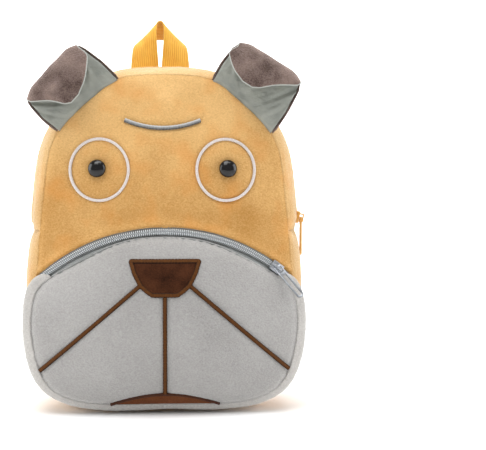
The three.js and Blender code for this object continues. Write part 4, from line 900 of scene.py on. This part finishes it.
def ear_grid(side, lean, stand, flap, sweep):
    """An ear's plush from the seam up, over the fold and down to the tip."""
    angle = EAR_AT if side > 0 else math.pi - EAR_AT
    root, square = (v[0] for v in seam_frame(np.array([angle])))
    heading = math.atan2(square[1], square[0]) - side * math.radians(lean)
    out = np.array([math.cos(heading), math.sin(heading)])
    along = np.array([out[1], -out[0]])
    bend = math.pi - EAR_SPREAD
    length = stand + bend * EAR_FOLD + flap
    reach = np.linspace(-EAR_TUCK, length, 92)
    turned = np.clip((reach - stand) / EAR_FOLD, 0, bend)
    rest = np.maximum(0, reach - stand - bend * EAR_FOLD)
    stage = np.minimum(reach, stand) / stand + turned / bend + rest / flap
    rise = np.minimum(reach, stand) + EAR_FOLD * np.sin(turned) + rest * math.cos(bend)
    forward = EAR_FOLD * (1 - np.cos(turned)) + rest * math.sin(bend)
    table = np.array(EAR_WIDTHS)
    calm = np.hanning(9) / np.hanning(9).sum()

    def smooth(column):
        values = np.interp(stage, table[:, 0], table[:, column]) * EAR_BASE / 2
        return np.convolve(np.pad(values, 4, mode="edge"), calm, "valid")

    half, shift = smooth(1), smooth(2) + sweep * EAR_BASE / 2 * np.maximum(0, stage - 2)
    share = np.linspace(-1, 1, 46)
    half_angle = EAR_BASE / 2 / float(body_radius(angle))
    slack = (seam_frame(angle - side * share * half_angle)[0] - root) @ out
    lift = rise[:, None] + slack[None, :] * (1 - smooth_step(np.clip(reach / stand, 0, 1)))[:, None]
    across = side * (share[None, :] * half[:, None] + shift[:, None])
    x = root[0] + along[0] * across + out[0] * lift
    z = root[1] + along[1] * across + out[1] * lift
    edge_curl = np.abs(share[None, :]) ** 3 * np.sin(np.clip(reach / length, 0, 1) * math.pi)[:, None]
    clear = (0.4 + 2.05 * smooth_step(np.clip(reach / 9, 0, 1)) + 0.9 * np.minimum(0, reach))[:, None]
    y = front_seam_y(z) - clear - forward[:, None] - 0.8 * edge_curl
    return np.stack([x, y, z], -1)


def from_ends(count):
    """For each of a row of things, how many lie between it and the nearer end."""
    return np.minimum(np.arange(count), np.arange(count)[::-1])


def cord_along(name, path, radius):
    """A round cord along a line, its ends drawn in to a point."""
    path = evenly(path, 1.2)
    count, sides = len(path), 8
    run = unit(steps_along(path))
    side = unit(np.cross(run, [0.3, 0.9, 0.2]))
    taper = np.minimum(1, from_ends(count) / 2 + 0.05)[:, None, None]
    ring = np.linspace(0, 2 * math.pi, sides, endpoint=False)[None, :, None]
    rings = path[:, None] + radius * taper * (
        side[:, None] * np.cos(ring) + np.cross(run, side)[:, None] * np.sin(ring))
    index = np.arange(count * sides).reshape(count, sides)
    faces = quads(np.concatenate([index, index[:, :1]], 1), (0, 3, 2, 1)).tolist()
    return closed_piece(name, rings.reshape(-1, 3), faces + [index[0].tolist(), index[-1].tolist()])


for label, side, lean, stand, flap, sweep in EARS:
    grid = ear_grid(side, lean, EAR_STAND * stand, EAR_FLAP * flap, sweep)
    rows, columns = grid.shape[:2]
    to_tip = (rows - 1 - np.arange(rows)) / rows
    rim = np.minimum(from_ends(columns)[None, :] / (columns - 1), to_tip[:, None])
    puff = np.sin(np.clip(rim / 0.2, 0, 1) * math.pi / 2)
    outer = shell("ear_" + label, grid, 0.1, 0.3, UP, relief=3.8 * puff + 0.5 * soft(grid, 13, 41 + side))
    dress(outer, brown_plush, "brown_plush", "ear_plush_" + label, fill=0.3)
    normal = normals_of(grid, UP)
    depth = 0.9 + 0.5 * puff + 1.0 * soft(grid, 14, 51 + side) * puff
    u, v = np.meshgrid(np.linspace(-1, 1, columns), np.arange(rows) / rows)
    for (u0, v0), (u1, v1), height in EAR_CREASES:
        run = np.array([(u1 - u0) * EAR_BASE / 2, (v1 - v0) * EAR_FOLDED])
        span = np.linalg.norm(run)
        at = np.stack([(u - u0) * EAR_BASE / 2, (v - v0) * EAR_FOLDED], -1)
        along, off = at @ run / span ** 2, (at[..., 0] * run[1] - at[..., 1] * run[0]) / span
        fade = np.clip(1.15 - along, 0, 1) * np.clip(along + 1.0, 0, 1)
        depth = depth + 4 * height * (off / CREASE_REACH) * near(off, CREASE_REACH) * fade
    inner = (grid - normal * np.maximum(depth, 0.35)[..., None])[:, 1:-1]
    lining = shell("ear_satin_" + label, inner, 0.0, 0.6, UP)
    dress(lining, ear_satin.material, "grey_satin", "ear_lining_" + label, fill=0.2)
    skin = grid - normal * 0.35
    rim_path = np.concatenate([skin[rows // 2:, 0], skin[-1, 1:], skin[rows // 2:-1, -1][::-1]])
    dress(cord_along("ear_piping_" + label, rim_path, 0.5), piping.material, "grey_satin")
    for column, where in ((0, "first"), (-1, "second")):
        hem = cord_along("ear_hem_" + label + "_" + where, (grid - normal * 0.3)[4:rows // 2, column], 0.7)
        dress(hem, brown_plush, "brown_plush")

# The carry loop is one length of yellow polypropylene webbing, folded over so that its ends lie side by side in
# the top seam; its crown tips back. A row of the table is a place on either edge of one half of it.
LOOP_HALF = 24
LOOP_SHIFT = -4
LOOP_HEIGHT = 49
LOOP_TAIL = 4
LOOP_BEHIND = 1.4
LOOP_EDGES = [((0.03, 0, 1), (1, 0, 1)), ((0.05, 0, 0.75), (0.99, 0.02, 0.77)), ((0.09, 0, 0.5), (0.96, 0.08, 0.6)),
              ((0.12, 0.02, 0.28), (0.92, 0.2, 0.47)), ((0.12, 0.05, 0.12), (0.84, 0.36, 0.39)),
              ((0.09, 0.09, 0.035), (0.67, 0.58, 0.325)), ((0.05, 0.11, 0.008), (0.35, 0.76, 0.28)),
              ((0, 0.12, 0), (0, 0.82, 0.266))]
WEB_COLUMNS = 46


def smooth_path(points):
    """A smooth line through points in space."""
    p = np.array(points, float)
    p = np.concatenate([[2 * p[0] - p[1]], p, [2 * p[-1] - p[-2]]])
    last = len(p) - 4
    return np.array([at for i in range(last + 1) for at in curve_between(*p[i:i + 4], 24, closing=i == last)])


def web_shell(name, grid, low, high, facing, height):
    """Webbing with its fifteen ribs."""
    ribs = height * np.cos(np.linspace(0, 2 * math.pi * 15, WEB_COLUMNS))[None, :]
    return shell(name, grid, low, high, facing, relief=np.broadcast_to(ribs, grid.shape[:2]))


yellow_webbing = woven("yellow webbing", (220, 150, 34), (252, 204, 80), rib=1.7, cross=0.9, depth=0.4, roughness=0.6)
edges = []
for row in zip(*LOOP_EDGES):
    half = [(-x * LOOP_HALF, y * LOOP_HALF, -z * LOOP_HEIGHT - (LOOP_TAIL if z == 1 else 0)) for x, y, z in row]
    edges.append(smooth_path(half + [(-x, y, z) for x, y, z in half[-2::-1]]))
apex = np.array([LOOP_SHIFT, GUSSET_DEPTH / 2 + LOOP_BEHIND, SEAM_TOP + LOOP_HEIGHT])
share = np.linspace(0, 1, WEB_COLUMNS)[None, :, None]
grid = edges[0][:, None] * (1 - share) + edges[1][:, None] * share + apex
dress(web_shell("loop_webbing", grid, -0.6, 0.45, UP, 0.16), yellow_webbing, "yellow_webbing", "carry_loop")

# The shoulder straps are sleeves of brown plush over foam, sewn into the top seam at one end and round a stub
# of webbing at the other. Each leans outwards, and its webbing runs through a ladder-lock buckle to the floor.
STRAP_WIDTH = 50
STRAP_THICKNESS = 8
STRAP_SPACING = 53
STRAP_BOTTOM = 48
STRAP_CORNER = 7
# How far behind the back seam the strap's middle runs, at a share of the seam's height.
STRAP_ROUTE = [(2.9, 0.997), (8, 1.004), (14.5, 1.001), (20.5, 0.98), (24.5, 0.94), (26.8, 0.865), (28, 0.74),
               (27.6, 0.6), (25.3, 0.46), (21.5, 0.34), (17, 0.245)]
BACK_SEAM = GUSSET_DEPTH / 2
BUCKLE_THICKNESS = 3
BUCKLE_MIDDLE = BACK_SEAM + 13.5
BUCKLE_TOP = -3.6
WINDOW_FOOT = BUCKLE_TOP - 5.5 - 9.5
SLOT_TOP = WINDOW_FOOT - 5
SLOT_FOOT = SLOT_TOP - 3.6
WEB_WIDTH = 25
WEB_THICKNESS = 1.2
WEB_CLEAR = 0.3 + WEB_THICKNESS / 2
TAIL_CLEAR = 6
belt = woven("strap webbing", (176, 140, 44), (224, 192, 84), rib=1.7, cross=0.9, depth=0.5, roughness=0.6)
strap_plush = plush("strap plush", (64, 53, 47), (100, 86, 78), (214, 196, 188), contrast=1.5, patch=40)
khaki = clouded("khaki plastic", 6, 3, (126, 114, 88), (152, 140, 112), Roughness=0.42, Specular_IOR_Level=0.4)
khaki.emboss(khaki.clouds(0.5, 1), 0.04, 0.4)


def carried(grid, matrix):
    """The same grid, turned and moved to where a strap's frame is."""
    return grid @ np.array(matrix.to_3x3()).T + np.array(matrix.translation)


def strap_grid(turned):
    """The strap's middle surface, its foot turned, with the way down it and its length."""
    points = [(0, BACK_SEAM + behind, SEAM_TOP * (height - 1)) for behind, height in STRAP_ROUTE]
    line = smooth_path(points + [(0, BUCKLE_MIDDLE, STRAP_BOTTOM - SEAM_TOP)])
    line = evenly(line, 0.01 + way(line)[-1] / 190)
    share = np.linspace(0, 1, len(line))
    length = way(line)[-1]
    to_end = np.minimum(1, (1 - share) * length / STRAP_CORNER)
    half = STRAP_WIDTH / 2 - STRAP_CORNER * (1 - np.sqrt(1 - (1 - to_end) ** 2))
    skew = math.tan(turned) * smooth_step(np.clip((share - 0.75) / 0.25, 0, 1))
    x = half[:, None] * np.linspace(-1, 1, 52)[None, :]
    z = line[:, 2][:, None] + x * skew[:, None]
    return np.stack([x, np.broadcast_to(line[:, 1][:, None], x.shape), z], -1), share * length, length


def webbing(name, node, matrix, points):
    """Webbing laid along a run of (y, z) places, with its bends rounded to its own thickness."""
    points = np.array(points, float)
    line = [points[0]]
    for before, here, after in zip(points, points[1:], points[2:]):
        start, stop = (here + unit(other - here) * WEB_THICKNESS for other in (before, after))
        line += [start * (1 - t) ** 2 + here * 2 * t * (1 - t) + stop * t * t for t in np.linspace(0, 1, 7)]
    line = evenly(line + [points[-1]], 0.5)
    x = np.broadcast_to(np.linspace(-0.5, 0.5, WEB_COLUMNS) * WEB_WIDTH, (len(line), WEB_COLUMNS))
    y, z = (np.broadcast_to(line[:, k][:, None], x.shape) for k in (0, 1))
    piece = web_shell(name, carried(np.stack([x, y, z], -1), matrix), -0.55, 0.5, REAR, 0.14)
    dress(piece, belt, "yellow_webbing", node)


for label, side, lean, twist in (("left", -1, 4, 9), ("right", 1, 5.7, 0)):
    harness = Matrix.Translation((side * STRAP_SPACING / 2, 0, SEAM_TOP)) @ Matrix.Rotation(
        -side * math.radians(lean), 4, "Y")
    turned = -side * math.radians(twist)
    lower = harness @ Matrix.Translation((0, 0, STRAP_BOTTOM - SEAM_TOP)) @ Matrix.Rotation(turned, 4, "Y")
    grid, at, length = strap_grid(turned)
    across = np.abs(np.linspace(-1, 1, grid.shape[1]))[None, :]
    end = np.minimum(1, np.minimum(at / 22, (length - at) / 9))
    crown = STRAP_THICKNESS / 2 * (0.4 + 0.6 * (1 - across ** 5) * np.sqrt(end)[:, None])
    grid = carried(grid, harness)
    folds = 0.5 * soft(grid, 30, 61 + side) + 0.25 * soft(grid, 11, 67 + side)
    strap = shell("strap_plush_" + label, grid, -crown, crown, REAR, relief=folds * (1 - across ** 4))
    dress(strap, strap_plush, "brown_plush", "strap_" + label, fill=0.6)

    inner = BUCKLE_MIDDLE - BUCKLE_THICKNESS / 2 - WEB_CLEAR
    outer = BUCKLE_MIDDLE + BUCKLE_THICKNESS / 2 + WEB_CLEAR
    against = inner - WEB_THICKNESS - 0.3
    webbing("stub_" + label, "strap_stub_" + label, lower,
            [(BUCKLE_MIDDLE, 2), (inner, BUCKLE_TOP + 0.5), (inner, WINDOW_FOOT + WEB_CLEAR + 0.9)])
    webbing("webbing_" + label, "strap_webbing_" + label, lower,
            [(BACK_SEAM + 1.2, 9 - STRAP_BOTTOM), (against, SLOT_FOOT), (against, WINDOW_FOOT + WEB_CLEAR),
             (outer, WINDOW_FOOT + WEB_CLEAR), (outer, SLOT_TOP - WEB_CLEAR), (inner, SLOT_TOP - WEB_CLEAR),
             (inner, TAIL_CLEAR - STRAP_BOTTOM)])
    buckle = rounded_copy("buckle_" + label, "ladder_lock_" + label, edge=0.7, segments=3)
    dress(buckle, khaki.material, "khaki_plastic", "buckle_" + label)
